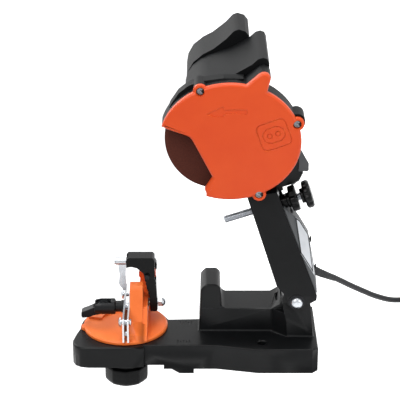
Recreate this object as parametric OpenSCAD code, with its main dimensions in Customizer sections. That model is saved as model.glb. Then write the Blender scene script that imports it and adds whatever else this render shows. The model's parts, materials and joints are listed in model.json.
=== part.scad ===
// Electric bench sharpener for saw chains.
// Origin: middle of the two bench bolt holes, on the underside of the base.
// X runs from the swivel table to the rear, Y goes away from the wheel side, Z is up. Millimetres.

/* [Show] */
// Which sub-part to draw ("all" draws the whole machine)

/* [Wheel and motor] */
// Diameter of the grinding wheel
wheel_d = 108; // [100:1:115]
// Thickness of the grinding wheel
wheel_t = 3.2; // [2:0.1:6]
// Bore of the grinding wheel
wheel_bore = 23; // [20:0.1:25.4]
// Distance of the motor axis from the bolt holes, along X
axis_x = -44; // [-60:0.5:-30]
// Height of the motor axis
axis_z = 237; // [220:0.5:250]
// Depth of the front motor housing
housing_len = 92; // [70:1:110]
// Depth of the rear motor cap
cap_len = 62; // [40:1:80]

/* [Base] */
// Height of the base plate
base_h = 27; // [20:0.5:35]
// Half width of the base at the rear
base_half = 52; // [45:0.5:60]
// Rear end of the base plate
base_rear = 57; // [50:0.5:70]
// Spacing of the two bench bolt holes
hole_pitch = 72; // [60:0.5:80]
// Diameter of the bench bolt holes
hole_d = 9; // [6:0.1:12]
// Height of the stop post
post_z = 79.5; // [70:0.5:90]
// Height of the saddle wall behind the post
saddle_z = 53; // [45:0.5:60]

/* [Swivel table] */
// Centre of the swivel table along X
table_x = -140.2; // [-150:0.5:-130]
// Diameter of the swivel table
table_d = 87; // [80:0.5:90]
// Height of the chain rails above the table face
rail_h = 25; // [18:0.5:30]
// Thickness of each chain rail
rail_t = 1.8; // [1:0.1:3]

/* [Swing arm] */
// Pivot of the arm along X
pivot_x = 35; // [30:0.5:45]
// Height of the pivot
pivot_z = 69; // [60:0.5:75]
// Diameter of the pivot bolt
pivot_d = 8; // [6:0.1:12]
// Diameter of the depth screw
screw_d = 8; // [6:0.1:10]

/* [Cord] */
// Diameter of the mains cord
cord_d = 6; // [5:0.1:8]

/* [Hidden] */
$fn = 64;
fit = 0.06;          // radial clearance of a running fit
gap = 0.35;          // space between neighbouring bodies
fine = 48;

table_z = base_h + 0.4;                 // underside of the swivel table
nose_r = 47;
table_top = table_z + 3.6;              // face the rails stand on
rail_top = table_top + rail_h;
mid_y = 9;                              // middle plane of tower and arm
tower_half = 33;
cheek_in = tower_half + gap;            // inner face of the arm cheeks, from mid_y
cheek_t = 4;
arm_tilt = 18.6;                        // lean of the depth screw axis
screw_arm = 94.4;                         // pivot to depth screw axis
sx = pivot_x - screw_arm * sin(arm_tilt);
sz = pivot_z + screw_arm * cos(arm_tilt);
rail_x = table_x + 3.4;                 // left face of the fixed rail
chain_gap = 3.0;                        // space between the rails
mrail_x = rail_x - chain_gap - rail_t;  // left face of the moving rail
clamp_z = 50;                           // height of the clamp rod
pin_x = -163;                           // clamp lever pin
stop_y = 15;                            // middle plane of the chain stop
stud_z = 81;                            // stop adjusting stud
stud_x = -117.5;
rib_x = -121.8;                         // right face of the rib
guide_z = 47.5;                           // stop guide stud
pawl_z = 94.5;                          // pawl tube
pawl_x = -143.5;
back_y = 8;                             // front face of the guard back plate
house_y = 11.3;                         // front face of the motor housing
seam_y = house_y + housing_len;
cap_y = seam_y + cap_len;
shaft_r = 5;

// ---- helpers ------------------------------------------------------------------------------

module xz(y0, y1) { translate([0, y1, 0]) rotate([90, 0, 0]) linear_extrude(y1 - y0) children(); }
module yz(x0, x1) { translate([x0, 0, 0]) rotate([90, 0, 90]) linear_extrude(x1 - x0) children(); }
module rod_x(x0, x1, y, z, r, n = fine) {
  translate([x0, y, z]) rotate([0, 90, 0]) cylinder(h = x1 - x0, r = r, $fn = n);
}
module rod_y(y0, y1, x, z, r, n = fine) {
  translate([x, y0, z]) rotate([-90, 0, 0]) cylinder(h = y1 - y0, r = r, $fn = n);
}
module rod_z(z0, z1, x, y, r, n = fine) { translate([x, y, z0]) cylinder(h = z1 - z0, r = r, $fn = n); }
module box(x0, x1, y0, y1, z0, z1) { translate([x0, y0, z0]) cube([x1 - x0, y1 - y0, z1 - z0]); }
// solid along the depth screw: t runs from tip side to knob side
module on_screw() { translate([sx, mid_y, sz]) rotate([0, -arm_tilt, 0]) rotate([0, 90, 0]) children(); }
module lobed(r, n, depth, h) {
  difference() {
    cylinder(h = h, r = r, $fn = fine);
    for (i = [0 : n - 1]) rotate([0, 0, i * 360 / n])
      translate([r + depth * 1.2, 0, -1]) cylinder(h = h + 2, r = depth * 2.2, $fn = 24);
  }
}
function ell(cx, cz, a, b, n) = [for (i = [0 : n - 1]) [cx + a * cos(i * 360 / n), cz + b * sin(i * 360 / n)]];
// tube swept along a route, with one ring and one radius per route point
function unit(v) = v / norm(v);
function tangent(p, i) = unit(p[min(i + 1, len(p) - 1)] - p[max(i - 1, 0)]);
function side(t) = unit(cross(t, abs(t[2]) > 0.95 ? [1, 0, 0] : [0, 0, 1]));
function ring(p, i, r, n) = let (t = tangent(p, i), u = side(t), v = cross(u, t))
  [for (k = [0 : n - 1]) p[i] + r * (u * cos(k * 360 / n) + v * sin(k * 360 / n))];
module sweep(p, r, n) {
  m = len(p);
  pts = [for (i = [0 : m - 1]) for (q = ring(p, i, r[i], n)) q];
  faces = concat([[for (k = [0 : n - 1]) k]],
    [for (i = [0 : m - 2]) for (k = [0 : n - 1])
      [i * n + k, (i + 1) * n + k, (i + 1) * n + (k + 1) % n, i * n + (k + 1) % n]],
    [[for (k = [n - 1 : -1 : 0]) (m - 1) * n + k]]);
  polyhedron(points = pts, faces = faces, convexity = 8);
}
// Catmull-Rom through hand-set points
function cr(a, b, c, d, t) = 0.5 * ((2 * b) + (c - a) * t + (2 * a - 5 * b + 4 * c - d) * t * t
  + (3 * b - a - 3 * c + d) * t * t * t);
function smooth(p, k) = let (m = len(p)) concat([for (i = [0 : m - 2]) for (j = [0 : k - 1])
  cr(p[max(i - 1, 0)], p[i], p[i + 1], p[min(i + 2, m - 1)], j / k)], [p[m - 1]]);

// ---- outlines -----------------------------------------------------------------------------

guard_cx = -33.3;
guard_seam = -13.5;       // the cover meets the back half here
guard_a = wheel_d / 2 + 15.9;
guard_b = wheel_d / 2 + 6.5;
module guard_open() {
  polygon([[-112, 255], [-98.5, 254], [-95.8, 252.2], [-73.9, 244.3], [-69.9, 239.5], [-50.7, 201.6],
    [-58.1, 189.1], [-56.9, 184.3], [-56.5, 165], [-112, 165]]);
}
module guard_fin() {
  polygon([[-26, 285], [-19.3, 296], [-5, 308], [-0.4, 309.3], [3.6, 307.4], [5.8, 303.3], [1, 285]]);
}
module guard_shape(g = 0) {
  difference() {
    union() {
      polygon(ell(guard_cx, axis_z + 1, guard_a - g, guard_b - g, 96));
      if (g == 0) guard_fin();
    }
    guard_open();
  }
}
function ear(a, clear) = [axis_x + (wheel_d / 2 + clear) * cos(a), axis_z + (wheel_d / 2 + clear) * sin(a)];
guard_ears = [ear(109.36, 2.71), ear(14.53, 24.51), ear(-53.93, 13.43)];
housing_pts = [[-78, 206], [-78, 262], [-76, 270], [-70, 279], [-62, 285.5], [-54, 289.5], [-30, 298],
  [-12, 308.5], [-6, 314], [-1, 315.5], [3.2, 314], [5, 310], [5, 206], [-4, 198], [-69, 198]];
housing_in = [[-75, 208], [-75, 261], [-72.5, 269], [-67.5, 276.5], [-61, 282.5], [-53, 286.3], [-29, 295],
  [-10.5, 305.7], [-4.5, 311], [-1, 312], [1, 311], [2, 309], [2, 208], [-5.5, 201], [-67.5, 201]];
cap_pts = [[-77, 209], [-77, 262], [-75.5, 271], [-70, 281], [-60, 289.5], [-49, 295.5], [-36, 306],
  [-28, 314.5], [-23, 316.3], [-16, 314], [-12, 309], [-12, 209], [-20, 201], [-68, 201]];
cap_in = [[-74, 211], [-74, 261], [-72.5, 269.5], [-67.5, 278.5], [-58.5, 286.5], [-47.5, 292.5],
  [-34, 303.5], [-26.5, 311.5], [-22.5, 313.2], [-17.5, 311.5], [-15, 308], [-15, 211], [-21.5, 204], [-66.5, 204]];
housing_mid = [for (i = [0 : len(housing_pts) - 1]) 0.5 * (housing_pts[i] + housing_in[i])];
cap_mid = [for (i = [0 : len(cap_pts) - 1]) 0.5 * (cap_pts[i] + cap_in[i])];

cap_screw_at = [[-71.2, 215], [-71.2, 260], [-22, 205.2], [-24, 294.5]];

// ---- base ---------------------------------------------------------------------------------

module base_plan() {
  translate([table_x, 0]) circle(r = nose_r, $fn = 96);
  translate([table_x, 0]) polygon([[20, -47], [6, -49], [-36, -49], [-44, -47.4], [-49.5, -43.5], [-52.6, -37],
    [-53, -30], [-51, -20], [-47, -8], [-44, 4], [0, 0]]);
  polygon([[-120, -43], [-46, -43], [-4, -base_half], [51, -base_half], [base_rear, -46], [base_rear, 46],
    [51, base_half], [-4, base_half], [-52, 16], [-120, 16]]);
}
module base_core() {
  translate([table_x, 0]) circle(r = nose_r - 4, $fn = 96);
  translate([table_x, 0]) polygon([[16, -43], [5, -45], [-35, -45], [-42, -43.7], [-46.3, -41], [-48.6, -36],
    [-49, -30], [-47, -21], [-43, -8], [-40, 4], [0, 0]]);
  polygon([[-118, -39], [-46, -39], [-4, -48], [49, -48], [base_rear - 4, -44], [base_rear - 4, 44],
    [49, 48], [-2, 48], [-50, 12], [-118, 12]]);
}
module base_frame() {
  color("#26272a") difference() {
    union() {
      difference() {
        union() {
          linear_extrude(base_h) base_plan();
          xz(-43, 16) polygon([[-104, 6], [-98, 3.5], [-84, -5], [-69.3, -5], [-69.3, 1], [-66, 6]]);
        }
        translate([0, 0, -1]) linear_extrude(base_h - 4) base_core();
        // nose overhangs the bench, clear of its edge
        box(-200, -100, -60, 60, -1, 4.5);
      }
      // ribs and bosses under the plate
      box(-100, 52, -2, 1.5, 5, base_h - 2);
      box(-69.3, -65.5, -41, 14, 0, base_h - 2);
      box(-8, -4.5, -50, 50, 1, base_h - 2);
      box(-90, -87, -41, 14, 6, base_h - 2);
      for (s = [-1, 1]) rod_z(0, base_h, 0, s * hole_pitch / 2, 9);
      rod_z(2, base_h, table_x, 0, 15);
      for (a = [45 : 90 : 315]) translate([table_x, 0, 6]) rotate([0, 0, a])
        translate([12, -1.5, 0]) cube([37, 3, base_h - 8]);
      // stop post and saddle
      xz(-10.5, 31) polygon([[-64, base_h - 1], [-62.2, post_z - 3], [-60, post_z], [-44, post_z],
        [-42, post_z - 2], [-41, base_h - 1]]);
      linear_extrude(saddle_z) polygon([[-63, -10.5], [11, -11], [24, -23], [50, -23], [50, 41], [24, 41],
        [11, 31], [-63, 31]]);
      xz(-10.5, 31) polygon([[-43, saddle_z - 1], [-43, 60], [-40, 55], [-35, saddle_z - 1]]);
      // tower
      xz(mid_y - tower_half, mid_y + tower_half)
        polygon([[26.5, base_h - 1], [25, 45], [21, 64], [21, pivot_z], [49, pivot_z], [53, base_h - 1]]);
      rod_y(mid_y - tower_half, mid_y + tower_half, pivot_x, pivot_z, 14.3, 64);
      xz(mid_y - 21, mid_y + 21) polygon([[8, saddle_z - 1], [18, 58], [23, 64], [23, saddle_z - 1]]);
    }
    // hollow below the saddle and tower
    box(-59, -46, -6, 26, -1, post_z - 8);
    box(-40, 18, -5, 26, -1, saddle_z - 5);
    box(29, 45, mid_y - 27, mid_y - 12, -1, 50);
    box(29, 45, mid_y + 12, mid_y + 27, -1, 50);
    // spring slot and pivot bore
    box(15, 60, mid_y - 9, mid_y + 9, 56, 90);
    rod_y(-40, 60, pivot_x, pivot_z, pivot_d / 2 + fit);
    // bench bolt holes and swivel bore
    for (s = [-1, 1]) {
      rod_z(-1, base_h + 1, 0, s * hole_pitch / 2, hole_d / 2);
    }
    rod_z(-6, base_h + 1, table_x, 0, 6 + fit);
    // angle scale on the nose and settings on the neck
    for (a = [0 : 5 : 35]) translate([table_x, 0, base_h - 0.6]) rotate([0, 0, 188 + a])
      translate([45.2, -0.4, 0]) cube([a % 10 == 0 ? 4.6 : 3, 0.8, 2]);
    for (i = [0 : 4]) box(-84 + 3 * i, -83.2 + 3 * i, 4, i % 2 == 0 ? 11 : 9, base_h - 0.5, base_h + 1);
    for (i = [0 : 4]) box(-86 + 3 * i, -85.2 + 3 * i, -38, i % 2 == 0 ? -31 : -33, base_h - 0.5, base_h + 1);
  }
}
module pivot_bolt() {
  color("#c9ccd0") {
    rod_y(mid_y - cheek_in - cheek_t - 1, mid_y + cheek_in + cheek_t + 9, pivot_x, pivot_z, pivot_d / 2);
    difference() {
      rod_y(mid_y - cheek_in - cheek_t - 6, mid_y - cheek_in - cheek_t - gap, pivot_x, pivot_z, 6.2);
      rod_y(mid_y - cheek_in - cheek_t - 7, mid_y - cheek_in - cheek_t - 3, pivot_x, pivot_z, 2.8, 6);
    }
  }
}
module pivot_nut() {
  color("#c9ccd0") difference() {
    union() {
      rod_y(mid_y + cheek_in + cheek_t + gap, mid_y + cheek_in + cheek_t + 1.9, pivot_x, pivot_z, 8);
      rod_y(mid_y + cheek_in + cheek_t + 1.8, mid_y + cheek_in + cheek_t + 8, pivot_x, pivot_z, 7.5, 6);
    }
    rod_y(mid_y, mid_y + 60, pivot_x, pivot_z, pivot_d / 2 + 0.01);
  }
}
spring_rings = 7;
module return_spring() {
  color("#a9adb2") union() {
    for (i = [0 : spring_rings - 1]) translate([pivot_x, mid_y + (i - 3) * 1.9, pivot_z]) rotate([90, 0, 0])
      rotate_extrude($fn = 48) translate([8.6, 0]) circle(r = 1, $fn = 16);
    translate([pivot_x + 12.3, mid_y - 5.7, 56.62]) rotate([0, -19.4, 0]) cylinder(h = 11.2, r = 1, $fn = 16);
  }
}

// ---- swivel table -------------------------------------------------------------------------

module swivel_table() {
  color("#f0702f") difference() {
    union() {
      translate([table_x, 0, table_z]) rotate_extrude($fn = 96)
        polygon([[0, 0], [table_d / 2, 0], [table_d / 2, 2.2], [table_d / 2 - 1.4, 3.6], [0, 3.6]]);
      // pointer
      translate([table_x, 0, table_z]) linear_extrude(3) polygon([[1.5 - table_d / 2, -12], [-2 - table_d / 2, -9],
        [-2 - table_d / 2, -3], [1.5 - table_d / 2, 0]]);
      // raised sector behind the clamp
      translate([table_x, 0, table_z]) intersection() {
        difference() {
          cylinder(h = 6, r = table_d / 2 - 3.5, $fn = 96);
          translate([0, 0, -1]) cylinder(h = 9, r = 26);
        }
        translate([0, 0, -1]) linear_extrude(9) polygon([[0, 0], [-60, 14], [-60, 60], [-10, 60]]);
      }
      // upright rib
      yz(rail_x + rail_t, rib_x) polygon([[-41, table_top - 1], [-38, table_top + 4], [-22, 43], [-10, 72], [-6, 76.5],
        [3.4, 76.5], [5.8, 68], [20, 62], [26, 43], [38, table_top + 4], [41, table_top - 1]]);
      yz(rail_x + rail_t, -117) polygon([[-40, table_top - 1], [-37, table_top + 4], [-22, 41], [-14, 56], [14, 56], [24, 56],
        [26, 41], [37, table_top + 4], [40, table_top - 1]]);
      // foot of the rail seat
      box(rail_x + rail_t, -130, -40, 40, table_top - 1, table_top + 6);
      yz(rail_x + rail_t, -130) polygon([[-20, table_top], [-14, clamp_z + 5], [14, clamp_z + 5], [20, table_top]]);
      // lug for the stop stud
      rod_y(26.6, 31, stud_x, stud_z, 6.4);
      xz(26.6, 31) polygon([[-130, table_top], [stud_x - 6.4, stud_z], [stud_x + 6.4, stud_z], [-116, table_top]]);
    }
    rod_z(0, 40, table_x, 0, 6 + 0.01);
    rod_x(-150, -118, 0, clamp_z, 3.5);
    rod_x(-127.01, -100, stop_y, guide_z, 2.5);
    // pocket for the guide spring
    rod_x(rib_x, -110, stop_y, guide_z, 5);
    for (y = [-32, 32]) rod_x(-150, -125, y, table_top + 3, 1.8);
    rod_y(20, 40, stud_x, stud_z, 2.5);
  }
}
module swivel_bolt() {
  color("#b9bcc1") {
    rod_z(-16, table_top, table_x, 0, 6);
  }
}
module fixed_rail() {
  color("#d7dade") difference() {
    yz(rail_x, rail_x + rail_t - 0.02) polygon([[-45, table_top + 0.05], [-45, rail_top - 5], [-41, rail_top],
      [41, rail_top], [45, rail_top - 5], [45, table_top + 0.05]]);
    rod_x(-160, -120, 0, clamp_z, 3.5);
    for (y = [-32, 32]) rod_x(-160, -120, y, table_top + 3, 1.8);
    for (y = [-32, 32]) rod_x(-160, -120, y, 48, 2.5 + fit);
  }
}
module rail_screws() {
  color("#c9ccd0") for (y = [-32, 32]) {
    rod_x(rail_x - 2.4, rail_x, y, table_top + 3, 3);
    rod_x(rail_x - 0.1, -126, y, table_top + 3, 1.8);
  }
}
module moving_rail() {
  color("#dfe2e6") difference() {
    yz(mrail_x, mrail_x + rail_t) polygon([[-45, table_top + gap], [-45, rail_top - 5], [-41, rail_top],
      [41, rail_top], [45, rail_top - 5], [45, table_top + gap]]);
    rod_x(-160, -120, 0, clamp_z, 3.5 + fit);
    for (y = [-32, 32]) {
      rod_x(-160, -120, y, 48, 2.5 + fit);
      rod_x(-160, -120, y, table_top + 3, 3.4);
    }
  }
}
module rail_spacers() {
  color("#c9ccd0") for (y = [-32, 32]) {
    rod_x(mrail_x - 4.5, mrail_x - 2.1, y, 48, 5, 24);
    rod_x(mrail_x - 2.7, -130.5, y, 48, 2.5);
  }
}
module clamp_rod() {
  color("#c9ccd0") difference() {
    rod_x(pin_x - 5, -118, 0, clamp_z, 3.5 - 0.01);
    rod_y(-12, 12, pin_x, clamp_z, 1.51);
  }
}
module clamp_barrel() {
  color("#2c2d30") difference() {
    union() {
      translate([-172, 0, clamp_z]) rotate([0, 90, 0]) cylinder(h = 6, r1 = 7, r2 = 8.6);
      rod_x(-166.1, -151, 0, clamp_z, 8.6);
      translate([-151.1, 0, clamp_z]) rotate([0, 90, 0]) cylinder(h = 1.6, r1 = 8.6, r2 = 7.4);
      rod_x(-149.6, -143.4, 0, clamp_z, 5.6);
      rod_x(-143.5, mrail_x - 0.05, 0, clamp_z, 6.6);
    }
    rod_x(-175, -140, 0, clamp_z, 3.5 + fit);
    box(-173, -154.6, -6.9, 6.9, clamp_z - 12, clamp_z + 12);
    rod_y(-12, 12, pin_x, clamp_z, 1.5 + 1.4);
  }
}
module clamp_pin() { color("#c9ccd0") rod_y(-8.2, 8.2, pin_x, clamp_z, 1.5); }
module clamp_lever() {
  color("#3a3b3d") difference() {
    union() {
      rod_y(-6.5, 6.5, pin_x, clamp_z, 6.2);
      xz(-6.5, 6.5) polygon([[pin_x, clamp_z + 6.1], [pin_x - 9, clamp_z + 1], [-185, clamp_z - 4.4],
        [-185.6, clamp_z - 9.6], [-184, clamp_z - 11.4], [-178, clamp_z - 10.8], [pin_x, clamp_z - 6.1]]);
    }
    rod_y(-12, 12, pin_x, clamp_z, 1.5 + fit);
    box(pin_x - 8, pin_x + 9, -3.8, 3.8, clamp_z - 14, clamp_z + 14);
    box(-190, -179, -10, 10, clamp_z - 8.6, clamp_z - 7.4);
  }
}
// ---- chain stop ---------------------------------------------------------------------------

module stop_side() {
  polygon([[pawl_x + 4.5, pawl_z - 4], [pawl_x + 4.5, pawl_z + 4.5], [-137, 101.5], [-112, 101.5],
    [-110, 99.5], [-109.6, 77], [-108.4, 74], [-108.6, 56], [-107, 43], [-108, 40.5], [-114.3, 40.5],
    [-115, 42], [-115.4, 58], [-117.5, 65], [-121.4, 84], [-128, 90], [-134, 91.5]]);
}
module stop_arm() {
  color("#222326") difference() {
    union() {
      xz(stop_y - 8, stop_y - 6) stop_side();
      xz(stop_y + 6, stop_y + 8) stop_side();
      xz(stop_y - 7, stop_y + 7) polygon([[-137, 99.2], [-137, 101.5], [-112, 101.5], [-110, 99.5]]);
      xz(stop_y - 7, stop_y + 7) polygon([[-110, 70], [-108.4, 70], [-107, 43], [-108, 40.5], [-110, 40.5]]);
      rod_x(pawl_x + 4.5, pawl_x + 7.5, stop_y, pawl_z, 4);
      box(pawl_x + 5, pawl_x + 7.5, stop_y - 8, stop_y + 8, pawl_z - 3, pawl_z + 4);
    }
    rod_x(-150, -130, stop_y, pawl_z, 2.5);
    rod_y(0, 40, stud_x, stud_z, 2.48 + fit);
    // slot along Y for the guide stud
    box(-112, -100, stop_y - 5.9, stop_y + 5.9, guide_z - 2.55, guide_z + 2.55);
  }
}
module stop_stud() { color("#2c2d30") rod_y(3.4, 38.4, stud_x, stud_z, 2.48, 24); }
module stud_knob() {
  color("#1d1e20") difference() {
    translate([stud_x, 31 + gap, stud_z]) rotate([-90, 0, 0]) lobed(9.6, 8, 0.9, 8);
    rod_y(20, 50, stud_x, stud_z, 2.48 + fit);
  }
}
module stop_wheel() {
  color("#f0702f") difference() {
    union() {
      translate([stud_x, stop_y - 3.5, stud_z]) rotate([-90, 0, 0]) lobed(8.9, 14, 0.6, 7);
      rod_y(stop_y - 6 + gap, stop_y + 6 - gap, stud_x, stud_z, 6);
    }
    rod_y(0, 40, stud_x, stud_z, 2.48 + fit);
  }
}
module guide_stud() { color("#c9ccd0") rod_x(-127, -103, stop_y, guide_z, 2.48, 24); }
module guide_spring() {
  color("#a9adb2") difference() {
    union() for (i = [0 : 3]) translate([rib_x + 1.2 + i * 1.35, stop_y, guide_z]) rotate([0, 90, 0])
      rotate_extrude($fn = 32) translate([3.6, 0]) circle(r = 0.8, $fn = 16);
    rod_x(-127, -103, stop_y, guide_z, 2.4, 24);
  }
}
module dome_nut() {
  color("#dfe2e6") difference() {
    union() {
      rod_x(-106.6, -102.6, stop_y, guide_z, 5, 6);
      translate([-102.8, stop_y, guide_z]) rotate([0, 90, 0]) rotate_extrude($fn = 32)
        polygon(concat([[0, 0]], [for (i = [0 : 8]) [4.6 * cos(i * 11.25), 4.2 * sin(i * 11.25)]]));
    }
    rod_x(-110, -103, stop_y, guide_z, 2.49, 24);
  }
}
module pawl_pin() {
  color("#dfe2e6") { rod_x(-150.5, -138, stop_y, pawl_z, 2.48, 24); rod_x(-151.3, -150, stop_y, pawl_z, 3.2, 24); }
}
module chain_stop() {
  color("#dfe2e6") difference() {
    union() {
      rod_x(-149.8, -139.4, stop_y, pawl_z, 3.8);
      xz(stop_y - 1.6, stop_y + 1.6) polygon([[-147.4, pawl_z], [-147.2, 87], [-146.2, 79], [-147.2, 70.5],
        [-146.4, 67], [-144.2, 65], [-142.4, 61.8], [-139.9, 61.8], [-139.4, 68], [-140.2, 79], [-139.6, 88],
        [-139.6, pawl_z]]);
    }
    rod_x(-160, -130, stop_y, pawl_z, 2.48 + fit);
  }
}

// ---- lock knob ----------------------------------------------------------------------------

knob_top = -3;
module lock_knob() {
  color("#232326") difference() {
    union() {
      rod_z(-9, knob_top, table_x, 0, 18);
      translate([table_x, 0, -9.5]) cylinder(h = 1.6, r1 = 23.5, r2 = 21.8, $fn = 10);
      translate([table_x, 0, -16]) cylinder(h = 6.6, r = 23.5, $fn = 10);
      translate([table_x, 0, -34]) cylinder(h = 18.1, r1 = 21.4, r2 = 22.4, $fn = 10);
    }
    rod_z(-20, 0, table_x, 0, 6 + fit);
    translate([table_x, 0, -35]) cylinder(h = 4, r = 12);
  }
}
module lock_washer() {
  color("#c9ccd0") difference() {
    rod_z(knob_top, 1.6, table_x, 0, 12.5);
    rod_z(-20, 10, table_x, 0, 6 + fit);
  }
}

// ---- swing arm ----------------------------------------------------------------------------

arm_panel = [[-16, 176], [14, 180], [55.5, 76], [55, 71], [49, 67.5], [44, 66.5], [35, 60], [26, 66],
  [25, 74], [14.5, 86]];
arm_hump = [[14, 178], [36, 166], [47, 146], [53, 112], [56, 76], [49, 68], [30, 120]];
module arm_width() { polygon([[mid_y - 37.5, 55], [mid_y - 37.5, 76], [mid_y - 15, 182], [mid_y + 33, 182],
  [mid_y + 37.5, 76], [mid_y + 37.5, 55]]); }
module arm_width_in() { polygon([[mid_y - cheek_in, 50], [mid_y - cheek_in, 80], [mid_y - 11.5, 186],
  [mid_y + 29, 186], [mid_y + cheek_in, 80], [mid_y + cheek_in, 50]]); }
module arm_neck() {
  xz(14, 41) polygon([[-24, 170], [-28, 197.7], [6, 197.7], [6, 210], [20, 226], [34, 222], [40, 207],
    [41, 193], [36, 182], [24, 170]]);
}
module swing_arm() {
  color("#2a2b2e") difference() {
    union() {
      intersection() {
        xz(-60, 80) polygon(arm_panel);
        yz(-60, 90) arm_width();
      }
      difference() {
        arm_neck();
        xz(17, 38) polygon([[-19, 160], [-24, 194.5], [9.2, 194.5], [9.2, 208.6], [21, 222.5], [32, 219.5], [37, 206.5],
          [38, 194], [33.6, 184], [20, 160]]);
        rod_y(0, 60, axis_x, axis_z, 41);
      }
    }
    // hollow, open at the bottom around the tower and at the rear
    intersection() {
      xz(-60, 80) polygon([[-11.5, 172.5], [11, 176.5], [70, 30], [10, 50], [10, 88]]);
      yz(-60, 90) arm_width_in();
    }
    intersection() {
      xz(-60, 80) polygon([[13.5, 172], [40, 180], [80, 60], [46, 92], [24, 146]]);
      yz(-60, 90) arm_width_in();
    }
    rod_y(mid_y - cheek_in - 0.01, mid_y + cheek_in + 0.01, pivot_x, pivot_z, 18);
    // clear of the wheel guard and its lower ear
    xz(-60, house_y) union() {
      polygon(ell(guard_cx, axis_z + 1, guard_a + 0.4, guard_b + 0.4, 96));
      translate(guard_ears[2]) circle(r = 7.4);
    }
    on_screw() translate([0, 0, 11.9]) cylinder(h = 30, r = 7.21);
    on_screw() translate([0, 0, 20.9]) cylinder(h = 14, r = 14.4);
    on_screw() translate([0, 0, 34.8]) cylinder(h = 20, r = 15.2);
    rod_x(30, 80, gland_y, gland_z, 5.6);
    rod_y(-60, 80, pivot_x, pivot_z, pivot_d / 2 + fit);
    on_screw() translate([0, 0, -40]) cylinder(h = 100, r = screw_d / 2 + fit);
  }
}
module hump_shape(g) {
  polygon([[16 - g, 166 - g], [33 - g, 150.5 - g], [38 - g, 146 - g], [47.5 - g, 130 - g], [53.7 - g, 97],
    [56.6 - g, 80], [50 - g, 74]]);
}
module hump(g) {
  hull() {
    xz(mid_y - 6 + g, mid_y + 6 - g) hump_shape(g);
    xz(mid_y - 16.5 + g, mid_y + 32 - g) polygon([[15.5, 168 - g], [18 - g, 166 - g], [20, 150]]);
    xz(mid_y - 35.5 + g, mid_y + 36 - g) polygon([[54, 79], [55.6 - g * 0.6, 79], [54, 82]]);
  }
}
module arm_cover() {
  color("#7f817e") difference() {
    hump(0);
    hump(2.4);
    intersection() {
      xz(-60, 80) polygon([[-16, 176.3], [14.3, 180.3], [55.8, 76], [55, 60], [10, 60]]);
      yz(-60, 90) polygon([[mid_y - 37.8, 55], [mid_y - 37.8, 76], [mid_y - 15.3, 182.3], [mid_y + 33.3, 182.3],
        [mid_y + 37.8, 76], [mid_y + 37.8, 55]]);
    }
    on_screw() translate([0, 0, -40]) cylinder(h = 100, r = 7.5);
    on_screw() translate([0, 0, 20.9]) cylinder(h = 30, r = 14.2);
    rod_x(30, 80, gland_y, gland_z, 4.7);
    rod_x(54, 80, gland_y, gland_z - 0.6, 6.4);
    for (p = cover_screw_at) rod_x(30, 80, p[0], p[1], 1.61, 16);
    box(10, 40, 10, 60, 168, 180);
  }
}
// plate on the near slanted face of the hump
module rating_plate() {
  color("#dfe2e4") difference() {
    intersection() {
      translate([0, -0.9, 0]) hump(0);
      xz(-40, mid_y - 6.2) polygon([[33.5, 151], [36.2, 151.5], [47, 131], [53, 97], [54.4, 86], [51, 86], [40, 110]]);
    }
    hump(-0.02);
    box(-60, 100, -60, -18.2, 0, 200);
  }
}
cover_screw_at = [[mid_y + 1, 122], [mid_y - 1.5, 92]];
module cover_screws() {
  color("#8d9094") for (p = cover_screw_at) {
    x = p[1] > 97 ? 47.5 + (130 - p[1]) * 0.188 : 53.7 + (97 - p[1]) * 0.17;
    rod_x(x - 4.5, x + 0.7, p[0], p[1], 1.6, 16);
    rod_x(x + 0.6, x + 1.8, p[0], p[1], 3, 24);
  }
}

// ---- guard --------------------------------------------------------------------------------

module guard_back() {
  color("#26272a") difference() {
    union() {
      difference() {
        xz(guard_seam + gap, back_y + 3) difference() {
          union() {
            polygon(ell(guard_cx, axis_z + 1, guard_a - 0.3, guard_b - 0.3, 96));
            guard_fin();
            translate(guard_ears[0]) circle(r = 7);
            translate([32, 258]) circle(r = 8);
          }
          guard_open();
        }
        xz(guard_seam - 1, back_y) polygon(ell(guard_cx, axis_z + 1, guard_a - 3.4, guard_b - 3.4, 96));
      }
      // upper ledge that meets the motor housing
      xz(-3.7, back_y + 3) polygon([[-100, 254], [-96, 262], [-92, 272], [-84, 284], [-74, 292], [-62, 296.5],
        [-40, 299.5], [-20, 299], [-34, 296], [-60, 291], [-78, 279], [-90, 262], [-97, 252.5]]);
      for (p = guard_ears) rod_y(guard_seam + gap, back_y + 3, p[0], p[1], 6.4);
      rod_y(back_y - 1, back_y + 3, axis_x, axis_z, 20);
    }
    rod_y(-20, 40, axis_x, axis_z, 13.5);
    for (p = guard_ears) rod_y(-14, back_y + 1, p[0], p[1], 1.75, 24);
    rod_y(-20, back_y, axis_x, axis_z, wheel_d / 2 + 2, 96);
  }
}
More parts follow.
